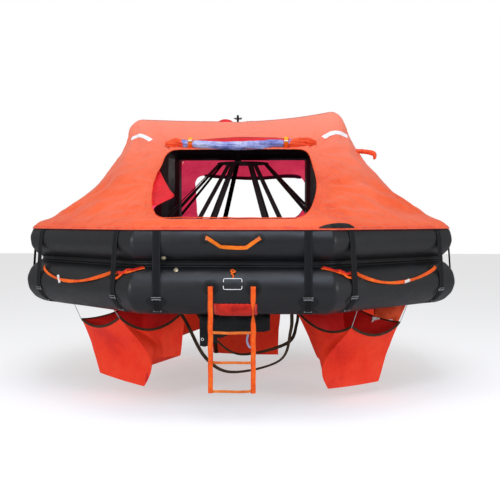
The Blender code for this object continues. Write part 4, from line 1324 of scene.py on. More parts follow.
def makeTapes():
    # retro-reflective tapes, sewn beside each entrance
    for tag, rear in entrances:
        for n, run in enumerate(tapes["runs"]):
            line, outs = runOnFront(run, 18, 0.0006, rear)
            tape = sweep(line, outs, strapSection(tapes["width"], tapes["thickness"]))
            piece(f"reflectiveTape{tag}{n + 1}", tape, "reflectiveTape")


makeTapes()
print("canopy trimmed")


# The door curtains, rolled up over each entrance.

curtain = {"fromX": -0.60, "toX": 0.60, "radius": 0.029, "lift": 0.028, "ties": (-0.455, 0.410),
           "tieHalf": 0.021, "endLeft": 0.085, "endRight": 0.10, "steps": 120, "around": 44,
           "lump": 0.010, "smallLump": 0.004, "spiral": 0.005, "pinch": 0.011, "pinchReach": 0.035,
           "gather": 0.010, "pleat": 0.006, "droop": 0.010,
           # how far in from its ends the roll shows the canopy's orange
           "orangeLeft": 0.070, "orangeRight": 0.154, "y": 0.470, "sagY": 0.110,
           "topY": 0.385, "topHalf": 0.56, "topBow": 0.06, "topLift": 0.0026}


def rollSpine(side, x):
    y = side * (curtain["y"] + curtain["sagY"] * (1 - (x / 0.60) ** 2))
    return onCanopy(x, y, curtain["lift"])


def makeRoll(tag, side, look):
    # cloth wound on itself: overlapping turns, pinched at the ties, loose in between
    fromX, toX = curtain["fromX"] - curtain["endLeft"], curtain["toX"] + curtain["endRight"]
    count, around = curtain["steps"], curtain["around"]
    bm = bmesh.new()
    rings = []
    for k in range(count + 1):
        t = k / count
        x = fromX + (toX - fromX) * t
        inner = max(curtain["fromX"], min(curtain["toX"], x))
        centre, normal = rollSpine(side, inner)
        centre = centre + Vector((x - inner, 0, -0.10 * abs(x - inner)))
        normal = Vector((0, normal.y, normal.z)).normalized()
        down = Vector((0, normal.z, -normal.y)) * side
        pinch = sum(exp(-(((x - at) / curtain["pinchReach"]) ** 2)) for at in curtain["ties"])
        ends = min(1.0, (t * 14 + 0.35), ((1 - t) * 14 + 0.35))
        bunch = max(0.0, 1 - (x - fromX) / 0.20) + max(0.0, 1 - (toX - x) / 0.26)
        ring = []
        for m in range(around):
            a = tau * m / around
            spot = Vector((x * 5.0, cos(a) * 1.3 + side, sin(a) * 1.3))
            lump = noise.noise(spot) * curtain["lump"] + noise.noise(spot * 2.7) * curtain["smallLump"]
            spiral = curtain["spiral"] * ((m / around * 2 + x * 0.8) % 1.0)
            gather = curtain["gather"] * sin(a * 7 + x * 40)
            gather = bunch * (gather + curtain["pleat"] * sin(x * 260 + a * 2))
            full = curtain["radius"] + lump + spiral - curtain["pinch"] * pinch
            r = full * ends + gather * min(1, ends)
            droop = curtain["droop"] * (1 - pinch) * max(0.0, -sin(a))
            point = centre + normal * r * sin(a) + down * (r * cos(a)) - upward * droop
            ring.append(bm.verts.new(point))
        rings.append(ring)
    for a, b in zip(rings, rings[1:], strict=False):
        for m in range(around):
            n = (m + 1) % around
            bm.faces.new((a[m], a[n], b[n], b[m]))
    bm.faces.new(rings[0][::-1])
    bm.faces.new(rings[-1])
    bmesh.ops.recalc_face_normals(bm, faces=bm.faces)
    for face in bm.faces:
        x = face.calc_center_median().x + 0.03 * noise.noise(face.calc_center_median() * 24)
        plain = curtain["fromX"] + curtain["orangeLeft"] <= x <= curtain["toX"] - curtain["orangeRight"]
        face.material_index = 0 if plain else 1
    roll = piece(f"curtainRoll{tag}", bm, [look, "canopyEdge"], sharp=70)
    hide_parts(f"curtain_roll_{tag.lower()}")


def makeTies(tag, side):
    for n, x in enumerate(curtain["ties"]):
        centre, normal = rollSpine(side, x)
        normal = Vector((0, normal.y, normal.z)).normalized()
        down = Vector((0, normal.z, -normal.y)) * side
        path, ups = [], []
        for k in range(29):
            a = radians(-60 + 300 * k / 28)
            way = normal * sin(a) - down * cos(a)
            path.append(centre + way * (curtain["radius"] + 0.002 + 0.008 * max(0, -sin(a))))
            ups.append(way)
        strap = sweep(path, ups, strapSection(curtain["tieHalf"] * 2, 0.003))
        tie = piece(f"curtainTie{tag}{n + 1}", strap, "webOrange")
        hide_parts(f"curtain_tie_{tag.lower()}_{n + 1}")
        top = centre + normal * (curtain["radius"] + 0.006) - down * 0.008
        bends = ((-0.045, 0), (-0.020, 0.006), (0.012, 0.004), (0.036, -0.006))
        tab = sweep([top + down * a + normal * b for a, b in bends], normal, strapSection(0.034, 0.005))
        piece(f"tieTab{tag}{n + 1}", tab, "tabYellow")
        toggle = top + down * 0.030 + normal * 0.006
        half = Vector((0.016, 0, 0))
        peg = sweep([toggle - half, toggle + half], normal, roundSection(0.006, 12))
        piece(f"tieToggle{tag}{n + 1}", peg, "toggleWhite")


def makeValance(tag, side):
    # the curtain's own top strip, still flat on the roof above the roll
    grid, columns, rows = [], 49, 7
    for k in range(columns):
        x = curtain["topHalf"] * (2 * k / (columns - 1) - 1)
        bow = (x / curtain["toX"]) ** 2
        low = curtain["y"] + curtain["sagY"] * (1 - bow)
        column = []
        for m in range(rows):
            y = low + (curtain["topY"] + curtain["topBow"] * bow - low) * m / (rows - 1)
            lift = curtain["topLift"] + 0.002 * noise.noise(Vector((x * 9, y * 20, 0)))
            column.append(onCanopy(x, side * y, lift)[0])
        grid.append(column)
    strip = piece(f"curtainTop{tag}", woven(grid), "curtainRed")
    thicken(strip, wallThin)


for tag, side, look in (("Front", -1, "curtainBlue"), ("Rear", 1, "curtainPlum")):
    makeRoll(tag, side, look)
    makeTies(tag, side)
    makeValance(tag, side)
print("curtains rolled")


# Ballast pockets: limp bags, hung by their corners, with bound and scalloped rims.

bag = {"side": 18, "tall": 22, "wall": 0.0018, "bindingWide": 0.022, "bindingThick": 0.004,
       "fold": 0.020, "ripple": 0.006, "cord": 0.0028}
bagTop = floorBox[0].z - 0.001
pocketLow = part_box("ballast_pocket_front_left")[0].z

# rim and foot corners, from the photo's left and right pocket: outer side, front, inner side, back
leftBag = {
    "rim": [(-1.442, -0.640, -0.270), (-0.988, -1.190, -0.184), (-0.430, -0.900, bagTop),
            (-0.925, -0.370, bagTop)],
    "foot": [(-1.248, -0.760, pocketLow + 0.065), (-0.797, -1.100, pocketLow + 0.014),
             (-0.510, -0.900, pocketLow + 0.248), (-0.880, -0.560, pocketLow + 0.210)],
    "dips": [0.075, 0.165, 0.070, 0.050], "pinch": [0.030, 0.050, 0.050, 0.040], "rush": 10, "fold": 0.130,
}
rightBag = {
    "rim": [(1.435, -0.650, -0.285), (0.959, -1.190, -0.255), (0.460, -0.860, bagTop),
            (0.930, -0.380, bagTop)],
    "foot": [(1.231, -0.780, pocketLow + 0.010), (0.772, -1.050, pocketLow - 0.006),
             (0.690, -0.800, pocketLow + 0.223), (0.980, -0.560, pocketLow + 0.200)],
    "dips": [0.095, 0.130, 0.080, 0.050], "pinch": [0.035, 0.030, 0.045, 0.040], "rush": 2, "fold": -0.120,
}
middleBag = {
    "rim": [(-0.340, 0.010, bagTop), (0.375, 0.010, bagTop), (0.375, 0.490, bagTop),
            (-0.340, 0.490, bagTop)],
    "foot": [(-0.300, 0.080, -0.685), (0.345, 0.080, -0.700), (0.335, 0.420, -0.690),
             (-0.290, 0.420, -0.690)],
    "dips": [0.060, 0.050, 0.060, 0.050], "pinch": [0.022, 0.022, 0.022, 0.022], "rush": 1, "fold": 0.0,
}


def bagRim(shape):
    rim, ups = [], []
    corners = [Vector(c) for c in shape["rim"]]
    for k, corner in enumerate(corners):
        after = corners[(k + 1) % 4]
        for m in range(bag["side"]):
            t = m / bag["side"]
            sag = shape["dips"][k] * sin(pi * t) ** 0.8
            rim.append(corner.lerp(after, t) - upward * sag)
            side = after - corner
            ups.append(Vector((side.y, -side.x, 0)).normalized())
    return rim, ups


def makeBag(name, shape, flip):
    rim, ups = bagRim(shape)
    feet = [Vector(c) for c in shape["foot"]]
    middle = sum(feet, Vector()) / 4
    bm = bmesh.new()
    columns = []
    for i, top in enumerate(rim):
        k, t = divmod(i, bag["side"])
        t /= bag["side"]
        low = feet[k].lerp(feet[(k + 1) % 4], t) - upward * 0.006 * sin(pi * t)
        if k == 1:
            low.z = feet[1].z + (feet[2].z - feet[1].z) * (1 - (1 - t) ** shape["rush"])
        # how near the front corner, where the cloth folds over
        corner = t if k == 0 else 1 - t if k == 1 else 0.0
        column = []
        for v in shares(bag["tall"]):
            # cloth between two corners pulls in, most at a third of the way down
            pull = shape["pinch"][k] * sin(pi * v ** 0.75) * sin(pi * t)
            waist = shape["pinch"][k] * 0.5 * sin(pi * v ** 0.7) * (1 - sin(pi * t))
            point = top.lerp(low, v)
            toward = Vector((middle.x - point.x, middle.y - point.y, 0)).normalized()
            fold = noise.noise(Vector((i * 0.30, v * 1.6, k * 3.0 + flip)))
            fold = fold * bag["fold"] * sin(pi * v) ** 0.7
            ripple = noise.noise(point * 9.0) * bag["ripple"] * sin(pi * min(1, v * 1.1))
            point.x += shape["fold"] * corner**1.5 * sin(pi * v**1.4)
            column.append(bm.verts.new(point + toward * (pull + waist + fold + ripple)))
        columns.append(column)
    count = len(columns)
    for i in range(count):
        a, b = columns[i], columns[(i + 1) % count]
        for j in range(bag["tall"]):
            bm.faces.new((a[j], a[j + 1], b[j + 1], b[j]))
    ring = [c[-1] for c in columns]
    for shrink in (0.66, 0.33):
        inner = [bm.verts.new(middle.lerp(c[-1].co, shrink) - upward * 0.012 * (1 - shrink)) for c in columns]
        for i in range(count):
            n = (i + 1) % count
            bm.faces.new((ring[i], inner[i], inner[n], ring[n]))
        ring = inner
    heart = bm.verts.new(middle - upward * 0.010)
    for i in range(count):
        bm.faces.new((ring[i], heart, ring[(i + 1) % count]))
    if flip < 0:
        bmesh.ops.scale(bm, vec=(1, -1, 1), verts=bm.verts)
        bmesh.ops.reverse_faces(bm, faces=bm.faces)
    bmesh.ops.recalc_face_normals(bm, faces=bm.faces)
    area = areaOf(bm)
    tag = name.title().replace("_", "")
    made = piece(f"ballastPocket{tag}", bm, ["pocketRed", "pocketInside"], sharp=50)
    thicken(made, bag["wall"], lined=True)
    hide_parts(f"ballast_pocket_{name}")
    around = lineLength([*rim, rim[0]])
    turned = [Vector((p.x, p.y * flip, p.z)) for p in rim]
    ways = [Vector((u.x, u.y * flip, 0)) for u in ups]
    binding = sweep(turned, ways, strapSection(bag["bindingWide"], bag["bindingThick"]), closed=True)
    for v in binding.verts:
        v.co.z = min(v.co.z, bagTop)
    piece(f"pocketBinding{tag}", binding, "webBrown")
    lanyards = bmesh.new()
    for c in shape["rim"]:
        corner = Vector((c[0], c[1] * flip, c[2]))
        if bagTop - corner.z > 0.05:
            # a thin lanyard from the free corner up to the tube
            out = Vector((corner.x, corner.y, 0)).normalized()
            top = Vector((corner.x, corner.y, 0)) * (1.0 + 0.05) + upward * (lowerBox[0].z + 0.004)
            line = [corner - upward * 0.01, corner.lerp(top, 0.5) - upward * 0.004, top]
            sweep(line, out, roundSection(bag["cord"], 8), bm=lanyards)
    if lanyards.verts:
        piece(f"pocketLanyards{tag}", lanyards, "threadWhite")
    else:
        lanyards.free()


for name, shape, flip in (("front_left", leftBag, 1), ("front_right", rightBag, 1),
                          ("rear_left", leftBag, -1), ("rear_right", rightBag, -1),
                          ("middle", middleBag, 1)):
    makeBag(name, shape, flip)
print("pockets hung")


# The boarding ladder: webbing folded back on itself over the bars, with flat rungs sewn in.

rungBoxes = [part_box(f"ladder_rung_{k}") for k in (1, 2, 3)]
ladder = {"thickness": 0.0036, "rungWidth": 0.021, "rungThick": 0.007, "twistFrom": 0.060, "twistTo": -0.190,
          "pad": 0.062, "turn": 84, "rungSag": 0.003, "rungBack": 0.021, "strapWide": 0.040}


def makeLadder():
    for tag, sign in (("left", -1), ("right", 1)):
        low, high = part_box(f"ladder_strap_{tag}")
        x, width = (low.x + high.x) / 2, high.x - low.x
        front = low.y + 0.0021
        top = high.z
        path = []
        turn = (high.y - low.y) / 2 - 0.0022
        middle = Vector((x, (low.y + high.y) / 2, top - turn - 0.002))
        for k in range(13):
            a = radians(-60 + 240 * k / 12)
            path.append(middle + Vector((0, turn * cos(a), turn * sin(a))))
        ups = [(p - middle).normalized() for p in path]
        count = 46
        for k in range(1, count + 1):
            z = middle.z + (low.z - middle.z) * k / count
            sway = 0.0016 * sin(k * 0.7 + sign) * sin(pi * k / count)
            turned = 0.0
            if sign > 0 and ladder["twistTo"] < z < ladder["twistFrom"]:
                share = (ladder["twistFrom"] - z) / (ladder["twistFrom"] - ladder["twistTo"])
                turned = radians(ladder["turn"]) * sin(pi * share) ** 2
            path.append(Vector((x + sway, front - 0.012 * sin(turned), z)))
            ups.append(Vector((sin(turned), -cos(turned), 0)))
        strap = sweep(path, ups, strapSection(width, ladder["thickness"]))
        shown = piece(f"ladderSide{tag.capitalize()}", strap, "webOrange", body="ladder")
        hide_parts(f"ladder_strap_{tag}")
        face = front - ladder["thickness"] / 2 - 0.0003
        rows = [[Vector((x + edge * (width / 2 - 0.005), face, z)) for z in (middle.z - 0.005, low.z + 0.01)]
                for edge in (-1, 1)]
        for box in rungBoxes:
            z = (box[0].z + box[1].z) / 2
            rows.append([Vector((x + a * (width / 2 - 0.006), face, z + b * 0.018)) for a, b in stitchBox])
        sewn(f"ladderStitches{tag.capitalize()}", rows, "threadOrange", body="ladder", pitch=0.008,
             length=0.0055, radius=0.0006)
    for k, (low, high) in enumerate(rungBoxes):
        z, y = (low.z + high.z) / 2, (low.y + high.y) / 2
        line = []
        for t in shares(60):
            x = low.x + (high.x - low.x) * t
            inward = min(t, 1 - t) * (high.x - low.x) - ladder["strapWide"]
            behind = 0.5 - 0.5 * tanh(inward / 0.005)  # past the strap the rung comes forward
            sag = ladder["rungSag"] * sin(pi * t)
            line.append(Vector((x, y + (ladder["rungBack"] - (y - low.y - 0.011)) * behind,
                                z + 0.0012 * sin(t * 11 + k * 2) - sag)))
        rung = sweep(line, Vector((0, -1, 0)), strapSection(ladder["rungWidth"], ladder["rungThick"]))
        shown = piece(f"ladderRung{k + 1}", rung, "webRung", body="ladder")
        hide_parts(f"ladder_rung_{k + 1}")


def makeLadderPads():
    pads = bmesh.new()
    place = onTube(lower, 0)
    for tag in ("left", "right"):
        low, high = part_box(f"ladder_strap_{tag}")
        x = (low.x + high.x) / 2
        patch(circle(ladder["pad"], 40), place, 0.0016, centre=(x, arcAt(high.z - 0.010)), rings=4, bm=pads)
    piece("ladderPads", pads, "patchRubber")


makeLadder()
makeLadderPads()
print("ladder hung")


# Small fittings on the tubes.

handle = {"reach": 0.205, "width": 0.029, "thickness": 0.0045, "padRadius": 0.042, "endArc": 0.027,
          "dip": 0.066, "twist": 34,
          # across and up as shares of reach and dip, then how far off the tube
          "knots": [(-0.98, 0.06, 0.003), (-0.90, -0.02, 0.004), (-0.52, -0.72, 0.015),
                    (-0.38, -0.90, 0.018), (0.10, -1.00, 0.018), (0.46, -1.00, 0.018),
                    (0.58, -0.88, 0.016), (0.98, -0.06, 0.004), (1.04, 0.06, 0.003)]}


def makeHandles():
    for tag, face in (("front", 0), ("rear", 4)):
        place = onTube(upper, face)
        pads = bmesh.new()
        for hand in (-1, 1):
            patch(circle(handle["padRadius"], 32), place, 0.0016,
                  centre=(hand * handle["reach"], handle["endArc"]), rings=4, bm=pads)
        piece(f"handlePads{tag.capitalize()}", pads, "patchRubber")
        knots = [(a * handle["reach"], handle["endArc"] + b * handle["dip"], c)
                 for a, b, c in handle["knots"]]
        flat = smoothLine(knots, 49)
        path = [place(p.x, p.y, p.z) for p in flat]
        ups = []
        for k, p in enumerate(flat):
            out = tubeOut(face, p.y, upper)
            ahead = aheadAt(path, k).normalized()
            share = pi * k / 48
            twist = radians(handle["twist"]) * sin(share * 2 + 0.4) * sin(share)
            ups.append(Matrix.Rotation(twist, 3, ahead) @ out)
        strap = sweep(path, ups, strapSection(handle["width"], handle["thickness"]))
        shown = piece(f"boardingHandle{tag.capitalize()}", strap, "webHandle")
        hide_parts(f"boarding_handle_{tag}")
        rows = []
        for hand in (-1, 1):
            x, arc = hand * handle["reach"] * 0.93, handle["endArc"] - 0.006
            rows.append([place(x + a * 0.013, arc + b * 0.007, 0.0075) for a, b in stitchBox])
        sewn(f"handleStitches{tag.capitalize()}", rows, "threadWhite", pitch=0.006, length=0.004,
             radius=0.0006)


plateBorder = {"width": 0.0048, "thickness": 0.0010, "rise": 0.0046}


def makePlateBorder():
    # the sign plate's printed white frame; its lettering is left blank
    low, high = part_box("sign_plate")
    place = onTube(lower, 0)
    arcs = [arcAt(z) for z in (low.z, high.z)]
    width, height = high.x - low.x - 0.006, arcs[1] - arcs[0] - 0.005
    cx, cy = (low.x + high.x) / 2, sum(arcs) / 2
    outline = [(cx + x, cy + y) for x, y in roundedRect(width, height, 0.012, 6)]
    path = [place(x, y, plateBorder["rise"]) for x, y in outline]
    ups = [tubeOut(0, y, lower) for _, y in outline]
    border = sweep(path, ups, strapSection(plateBorder["width"], plateBorder["thickness"]), closed=True)
    piece("plateBorder", border, "reflectiveTape")


linePocket = {"swell": 0.014, "ruffle": 0.0035, "columns": 60, "rows": 24, "wall": 0.0014,
              "sideSeam": 0.86, "topSeam": 0.55, "rowsAt": 0.93, "rowLift": 0.0075}


def makeLinePocket():
    # a soft pouch, puckered by its stitching
    low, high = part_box("line_pocket")
    place = onTube(lower, 0)
    arcs = [arcAt(z) for z in (low.z + 0.004, high.z - 0.010)]
    cx, half = (low.x + high.x) / 2 + 0.004, (high.x - low.x) / 2 + 0.006
    middle, tall = sum(arcs) / 2, (arcs[1] - arcs[0]) / 2
    grid = []
    for i in range(linePocket["columns"] + 1):
        u = 2 * i / linePocket["columns"] - 1  # -1 to 1 across the pouch, and v up it
        column = []
        for j in range(linePocket["rows"] + 1):
            v = 2 * j / linePocket["rows"] - 1
            swell = (1 - abs(u) ** 5) * (1 - abs(v) ** 4)
            sideSeam = 0.55 * exp(-(((abs(u) - linePocket["sideSeam"]) / 0.035) ** 2))
            topSeam = 0.4 * exp(-(((v - linePocket["topSeam"]) / 0.07) ** 2))
            seam = 1 - sideSeam - topSeam
            spot = Vector((u * 7, v * 3, 1.0))
            wrinkle = linePocket["ruffle"] * (noise.noise(spot) + 0.6 * noise.noise(spot * 2.6))
            rise = 0.0012 + swell * (linePocket["swell"] * seam + wrinkle)
            edge = 0.002 * sin(u * 26) * (abs(v) > 0.95)
            column.append(place(cx + u * half, middle + v * tall + edge, rise))
        grid.append(column)
    pouch = piece("rescueLinePocket", woven(grid), "pouchRed")
    thicken(pouch, linePocket["wall"], offset=-1)
    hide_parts("line_pocket")
    rows = [[place(cx + u * half, middle + (k / 10 - 0.9) * tall, linePocket["rowLift"]) for k in range(19)]
            for u in (-linePocket["rowsAt"], linePocket["rowsAt"])]
    sewn("pouchStitches", rows, "threadWhite", pitch=0.009, length=0.006, radius=0.0007)


knot = {"cord": 0.0055,
        "line": [(0.0, 0.004, 0.004), (0.006, 0.020, 0.007), (-0.010, 0.034, 0.012), (0.012, 0.046, 0.014),
                 (0.016, 0.060, 0.008), (-0.006, 0.066, 0.016), (-0.014, 0.050, 0.018),
                 (0.004, 0.040, 0.020), (0.014, 0.052, 0.016), (0.0, 0.074, 0.008)]}


def makeKnot():
    # the release toggle of the sign's line, tied above the plate
    place = onTube(lower, 0)
    low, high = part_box("sign_plate")
    top = arcAt(high.z)
    cx = (low.x + high.x) / 2
    flat = smoothLine([(cx + x, top + y, z) for x, y, z in knot["line"]], 60)
    cord = sweep([place(p.x, p.y, p.z) for p in flat], faceFrame(0)[0], roundSection(knot["cord"], 8))
    piece("signLineKnot", cord, "webOrange")


cover = {"columns": 56, "rows": 26, "gap": 0.016, "wall": 0.0024, "wrapShare": 0.62, "past": 0.012,
         "hang": 0.045, "leftDrop": 0.085, "cornerDrop": 0.045, "crumple": 0.007, "eyelet": 0.010}


def makeCylinderCover():
    # a black flap wrapped round the front of the cylinder, its lower edge loose
    low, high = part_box("gas_cylinder")
    y, z, r = (low.y + high.y) / 2, (low.z + high.z) / 2, (high.z - low.z) / 2 + cover["gap"]

    def place(u, v):
        x = low.x - cover["past"] + (high.x - low.x + 2 * cover["past"]) * u
        drop = (cover["leftDrop"] * max(0.0, 1 - u * 1.15) + cover["cornerDrop"] * (u < 0.24)
                + 0.012 * sin(u * 9.0) + 0.006 * sin(u * 23))
        if v < cover["wrapShare"]:
            a = radians(-8 - 100 * v / cover["wrapShare"])
            point = Vector((x, y + r * sin(a) * 1.02, z + r * cos(a)))
        else:
            w = (v - cover["wrapShare"]) / (1 - cover["wrapShare"])
            a = radians(-108)
            hang = (cover["hang"] + drop) * w
            point = Vector((x, y + r * sin(a) * 1.02 + 0.022 * w, z + r * cos(a) - hang))
        spot = Vector((u * 9, v * 4, 2.5))
        crumple = cover["crumple"] * noise.noise(spot) + 0.004 * noise.noise(spot * 2.8)
        out = Vector((0, point.y - y, point.z - z)).normalized()
        point = point + out * crumple * min(1, v * 6)
        point.z = min(point.z, floorBox[0].z - 0.0015)
        return point

    bm = woven(gridOf(cover["columns"], cover["rows"], place))
    flap = piece("cylinderCover", bm, "coverBlack")
    thicken(flap, cover["wall"])
    at = Vector((low.x + 0.010, y - r + 0.0130, z - r * 0.3 - 0.122))
    path = [at + Vector((a, 0, b)) for a, b in circle(cover["eyelet"], 20)]
    eyelet = sweep(path, Vector((0, -1, 0)), roundSection(0.0028, 8), closed=True)
    piece("coverEyelet", eyelet, "toggleWhite")


makeHandles()
makePlateBorder()
makeLinePocket()
makeKnot()
makeCylinderCover()
print("fittings bonded")


# What shows through the front entrance: the rear one's inner curtain, half rolled, and a tied-back flap.

inner = {
    "outer": [(-0.66, 0.66), (-0.735, 0.90), (-0.70, 1.12), (-0.63, 1.25), (-0.50, 1.30), (-0.20, 1.31),
              (0.15, 1.31), (0.46, 1.30), (0.60, 1.25), (0.70, 1.10), (0.735, 0.90), (0.66, 0.66)],
    "edge": [(-0.60, 0.66), (-0.585, 0.82), (-0.565, 0.95), (-0.55, 1.05), (-0.46, 1.105), (-0.20, 1.090),
             (0.15, 1.082), (0.40, 1.100), (0.56, 1.090), (0.635, 1.01), (0.655, 0.88), (0.625, 0.66)],
    "columns": 96, "rows": 12, "inside": 0.030, "thickness": 0.0018, "rollFrom": -0.47, "rollTo": 0.585,
    "rollRadius": 0.026, "fold": 0.012, "slope": 0.02, "lump": 0.16,
}


def makeInnerCurtain():
    outer, edge = (smoothLine(upright(inner[key]), inner["columns"]) for key in ("outer", "edge"))
    grid = []
    for k in range(inner["columns"]):
        column = []
        for v in shares(inner["rows"]):
            p = outer[k].lerp(edge[k], v)
            z = max(p.z, upper["z"] + upper["radius"] + 0.02)
            fold = inner["fold"] * noise.noise(Vector((k * 0.22, v * 1.2, 0))) * (0.3 + v)
            point, _ = fromFront(p.x, z, 0, True)
            column.append(point - Vector((0, inner["inside"] + fold + inner["slope"] * v, 0)))
        grid.append(column)
    bm = woven(grid)
    area = areaOf(bm)
    shown = piece("innerCurtain", bm, "canopyLining", sharp=70)
    thicken(shown, inner["thickness"])
    spine = []
    for p in edge:
        if inner["rollFrom"] < p.x < inner["rollTo"] and p.z > 1.0:
            point, _ = fromFront(p.x, p.z, 0, True)
            spine.append(point - Vector((0, inner["inside"] + 0.022, -0.004)))
    spine = smoothLine(spine, 90)
    ends = len(spine) - 1

    def section(k):
        t = k / ends
        full = min(1.0, 0.55 + 7 * min(t, 1 - t))
        out = []
        for m in range(20):
            a = tau * m / 20
            lump = inner["lump"] * noise.noise(Vector((t * 9, cos(a) * 1.2, sin(a) * 1.2)))
            r = inner["rollRadius"] * full * (1 + lump)
            out.append((r * cos(a), -r * sin(a)))
        return out

    roll = sweep(spine, upward, section)
    piece("innerCurtainRoll", roll, "curtainPlum", sharp=70)


makeInnerCurtain()

# its free edge goes down by (z, x) places
tieBack = {"edge": [(1.075, -0.715), (1.02, -0.675), (0.95, -0.620), (0.88, -0.560), (0.825, -0.515),
                    (0.775, -0.590), (0.735, -0.650), (0.69, -0.655), (0.640, -0.650)],
           "left": -0.765, "from": 0.045, "red": 0.745, "columns": 12, "wall": 0.0018}


def makeTieBack():
    # the red flap tied back beside the front entrance, inside
    edge = smoothLine(upright((x, z) for z, x in tieBack["edge"]), 44)
    grid = []
    for k, p in enumerate(edge):
        row = []
        for u in shares(tieBack["columns"]):
            x = tieBack["left"] + (p.x - tieBack["left"]) * u
            point, _ = fromFront(x, max(p.z, upper["z"] + upper["radius"] + 0.012))
            inward = tieBack["from"] + 0.05 * u + 0.012 * noise.noise(Vector((u * 3, k * 0.12, 4)))
            row.append(point + Vector((0, inward, 0)))
        grid.append(row)
    bm = woven(grid)
    # painted light and shade on one red flap: scarlet above tieBack's red height, where light comes through
    # it, and the darker crimson lining below, standing in for the same fabric in shade
    for face in bm.faces:
        face.material_index = 1 if face.calc_center_median().z < tieBack["red"] else 0
    area = areaOf(bm)
    flap = piece("curtainFlapFront", bm, ["curtainRed", "canopyLining"], sharp=70)
    thicken(flap, tieBack["wall"])


makeTieBack()

# Small things on the canopy: the rain sleeve, a red cover beside the lifting eye, black corner gussets.

sleeve = {"root": (1.085, -0.150), "radius": 0.020, "mouth": 0.034, "tie": 0.024}


def makeRainSleeve():
    low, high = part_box("rain_sleeve")
    root, _ = onCanopy(*sleeve["root"], -0.004)
    mouth = Vector((high.x - 0.010, (low.y + high.y) / 2, high.z - 0.028))
    knots = [root, root.lerp(mouth, 0.30) + upward * 0.004, root.lerp(mouth, 0.68) + upward * 0.006, mouth,
             mouth + Vector((0.012, 0, -0.028)), mouth + Vector((0.006, 0, -0.052))]
    path = smoothLine(knots, 50)

    def section(k):
        t = k / 49
        flat = 1 - 0.72 * max(0.0, (t - 0.55) / 0.45)
        r = sleeve["radius"] + (sleeve["mouth"] - sleeve["radius"]) * t**2
        out = []
        for m in range(24):
            a = tau * m / 24
            crease = 1 + 0.07 * sin(a * 5 + t * 6) + 0.05 * noise.noise(Vector((t * 7, a, 1)))
            out.append((r * cos(a) * crease, -r * sin(a) * crease * flat))
        return out

    body = sweep(path, upward, section)
    shown = piece("rainSleeve", body, "canopyEdge", sharp=60)
    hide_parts("rain_sleeve")
    ring = [root.lerp(mouth, 0.34) + Vector((0, a, b + 0.004)) for a, b in circle(sleeve["tie"], 24)]
    tie = sweep(ring, Vector((1, 0, 0)), roundSection(0.0022, 8), closed=True)
    piece("sleeveTie", tie, "threadOrange")


makeRainSleeve()


ridgeCover = {"x": -0.170, "halfWide": 0.072, "halfDeep": 0.060, "rise": 0.024, "around": 40, "rings": 8}


def makeRidgeCover():
    # a red dome of cloth on the ridge, left of the lifting eye
    bm = bmesh.new()
    around, rings = ridgeCover["around"], ridgeCover["rings"]
    loops = []
    for m in range(rings + 1):
        share = m / rings
        loop = []
        for k in range(around):
            a = tau * k / around
            x = ridgeCover["x"] + ridgeCover["halfWide"] * share * cos(a)
            y = ridgeCover["halfDeep"] * share * sin(a)
            if abs(y) < 0.004:
                y = -0.004  # the canopy's mesh ends at the ridge
            base, _ = onCanopy(x, y, 0.0005)
            rise = upward * ridgeCover["rise"] * (1 - share**2.2)
            loop.append(bm.verts.new(base + rise) if m or not k else loop[0])
        loops.append(loop)
    heart = loops[0][0]
    for k in range(around):
        n = (k + 1) % around
        bm.faces.new((heart, loops[1][k], loops[1][n]))
        for a, b in zip(loops[1:], loops[2:], strict=False):
            bm.faces.new((a[k], b[k], b[n], a[n]))
    bmesh.ops.recalc_face_normals(bm, faces=bm.faces)
    shown = piece("ridgeCover", bm, "curtainRed")
    thicken(shown, wallThin, offset=-1)


makeRidgeCover()


gusset = {"top": [(0.655, 0.572), (0.70, 0.588), (0.77, 0.600), (0.84, 0.602), (0.89, 0.594), (0.930, 0.574)],
          "low": 0.566, "columns": 30, "rows": 8, "lift": 0.0052}


def makeHemGussets():
    # black cloth over the canopy's lower edge, where the front and rear right corner straps pull
    top = smoothLine(upright(gusset["top"]), gusset["columns"])
    for tag, rear in entrances:
        grid = []
        for k, p in enumerate(top):
            column = []
            for v in shares(gusset["rows"]):
                lift = gusset["lift"] + 0.004 * sin(k * 0.8) * (1 - v) * v
                column.append(fromFront(p.x, p.z + (gusset["low"] - p.z) * v, lift, rear)[0])
            grid.append(column)
        shown = piece(f"hemGusset{tag}", woven(grid), "coverBlack")
        thicken(shown, wallThin)


makeHemGussets()


tubeJoint = {"columns": 14, "rows": 6, "angle": 63, "dip": 0.016, "wall": 0.0025}


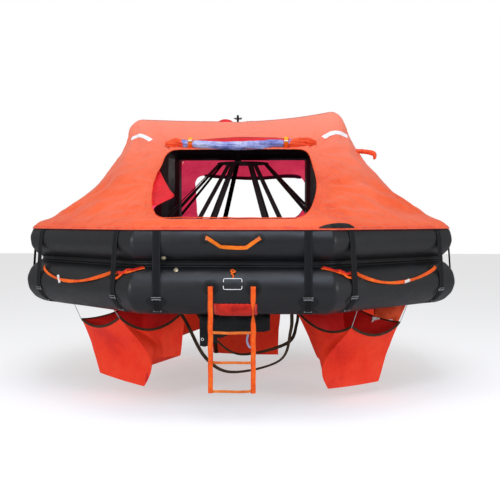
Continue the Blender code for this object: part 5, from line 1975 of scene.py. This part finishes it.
def makeTubeJoint():
    # the rubber strip bonded in the groove between the tubes
    columns, rows, angle = tubeJoint["columns"], tubeJoint["rows"], radians(tubeJoint["angle"])
    grid = []
    for face in range(8):
        normal, along = faceFrame(face)
        for k in range(columns):
            x = tan(faceTurn / 2) * (2 * k / columns - 1)
            direction = (normal + along * x).normalized()
            out = direction * octagonReach(direction)
            low = onRing(lower, out, lower["radius"], angle)
            high = onRing(upper, out, upper["radius"], -angle)
            dip = direction * tubeJoint["dip"]
            grid.append([low.lerp(high, m / rows) - dip * sin(pi * m / rows)
                         for m in range(rows + 1)])
    strip = piece("tubeJointStrip", woven(grid, closed=True), "patchRubber")
    thicken(strip, tubeJoint["wall"])


makeTubeJoint()

# Below: a spare flap with its reflective patch by the right pocket, a strap on the middle pocket, a lanyard.


def quadSheet(name, corners, look, sag, steps=16):
    # a small cloth between four corners, going round, with its middle drawn by sag
    a, b, c, d = (Vector(p) for p in corners)

    def place(u, v):
        point = a.lerp(b, u).lerp(d.lerp(c, u), v)
        wave = noise.noise(Vector((u * 4, v * 3, len(name)))) * 0.012
        return point + Vector(sag) * sin(pi * u) * sin(pi * v) + Vector((0, wave, 0)) * min(1, 6 * v)

    bm = woven(gridOf(steps, steps, place))
    area = areaOf(bm)
    shown = piece(name, bm, look)
    thicken(shown, wallThin)


quadSheet("spareFlap", [(1.215, -0.55, -0.0935), (1.530, -0.55, -0.085), (1.430, -0.56, -0.300),
                        (1.215, -0.55, -0.262)], "canopyEdge", (0, -0.02, 0))
quadSheet("flapReflector", [(1.200, -0.556, -0.248), (1.385, -0.560, -0.272), (1.330, -0.570, -0.345),
                            (1.185, -0.570, -0.345)], "reflectiveTape", (0, 0, 0.015))


lowStraps = {
    "web": [(-0.300, -0.002, -0.0935), (-0.290, 0.022, -0.35), (-0.268, 0.064, -0.688)],
    "loop": [(0.108, -1.466, -0.2385), (0.105, -1.488, -0.285), (0.098, -1.510, -0.330),
             (0.110, -1.518, -0.372), (0.128, -1.520, -0.386), (0.142, -1.515, -0.358),
             (0.138, -1.500, -0.300), (0.126, -1.466, -0.2385)],
}


def makeLowStraps():
    forward = Vector((0, -1, 0))
    web = sweep([Vector(p) for p in lowStraps["web"]], forward, strapSection(0.036, 0.003))
    piece("middlePocketStrap", web, "webBrown")
    loop = smoothLine(lowStraps["loop"], 40)
    lanyard = piece("cylinderLanyard", sweep(loop, forward, strapSection(0.016, 0.0022)), "lanyardBlue")
    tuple(loop[0])
    round(lineLength(loop), 3)


makeLowStraps()
print("small parts sewn")
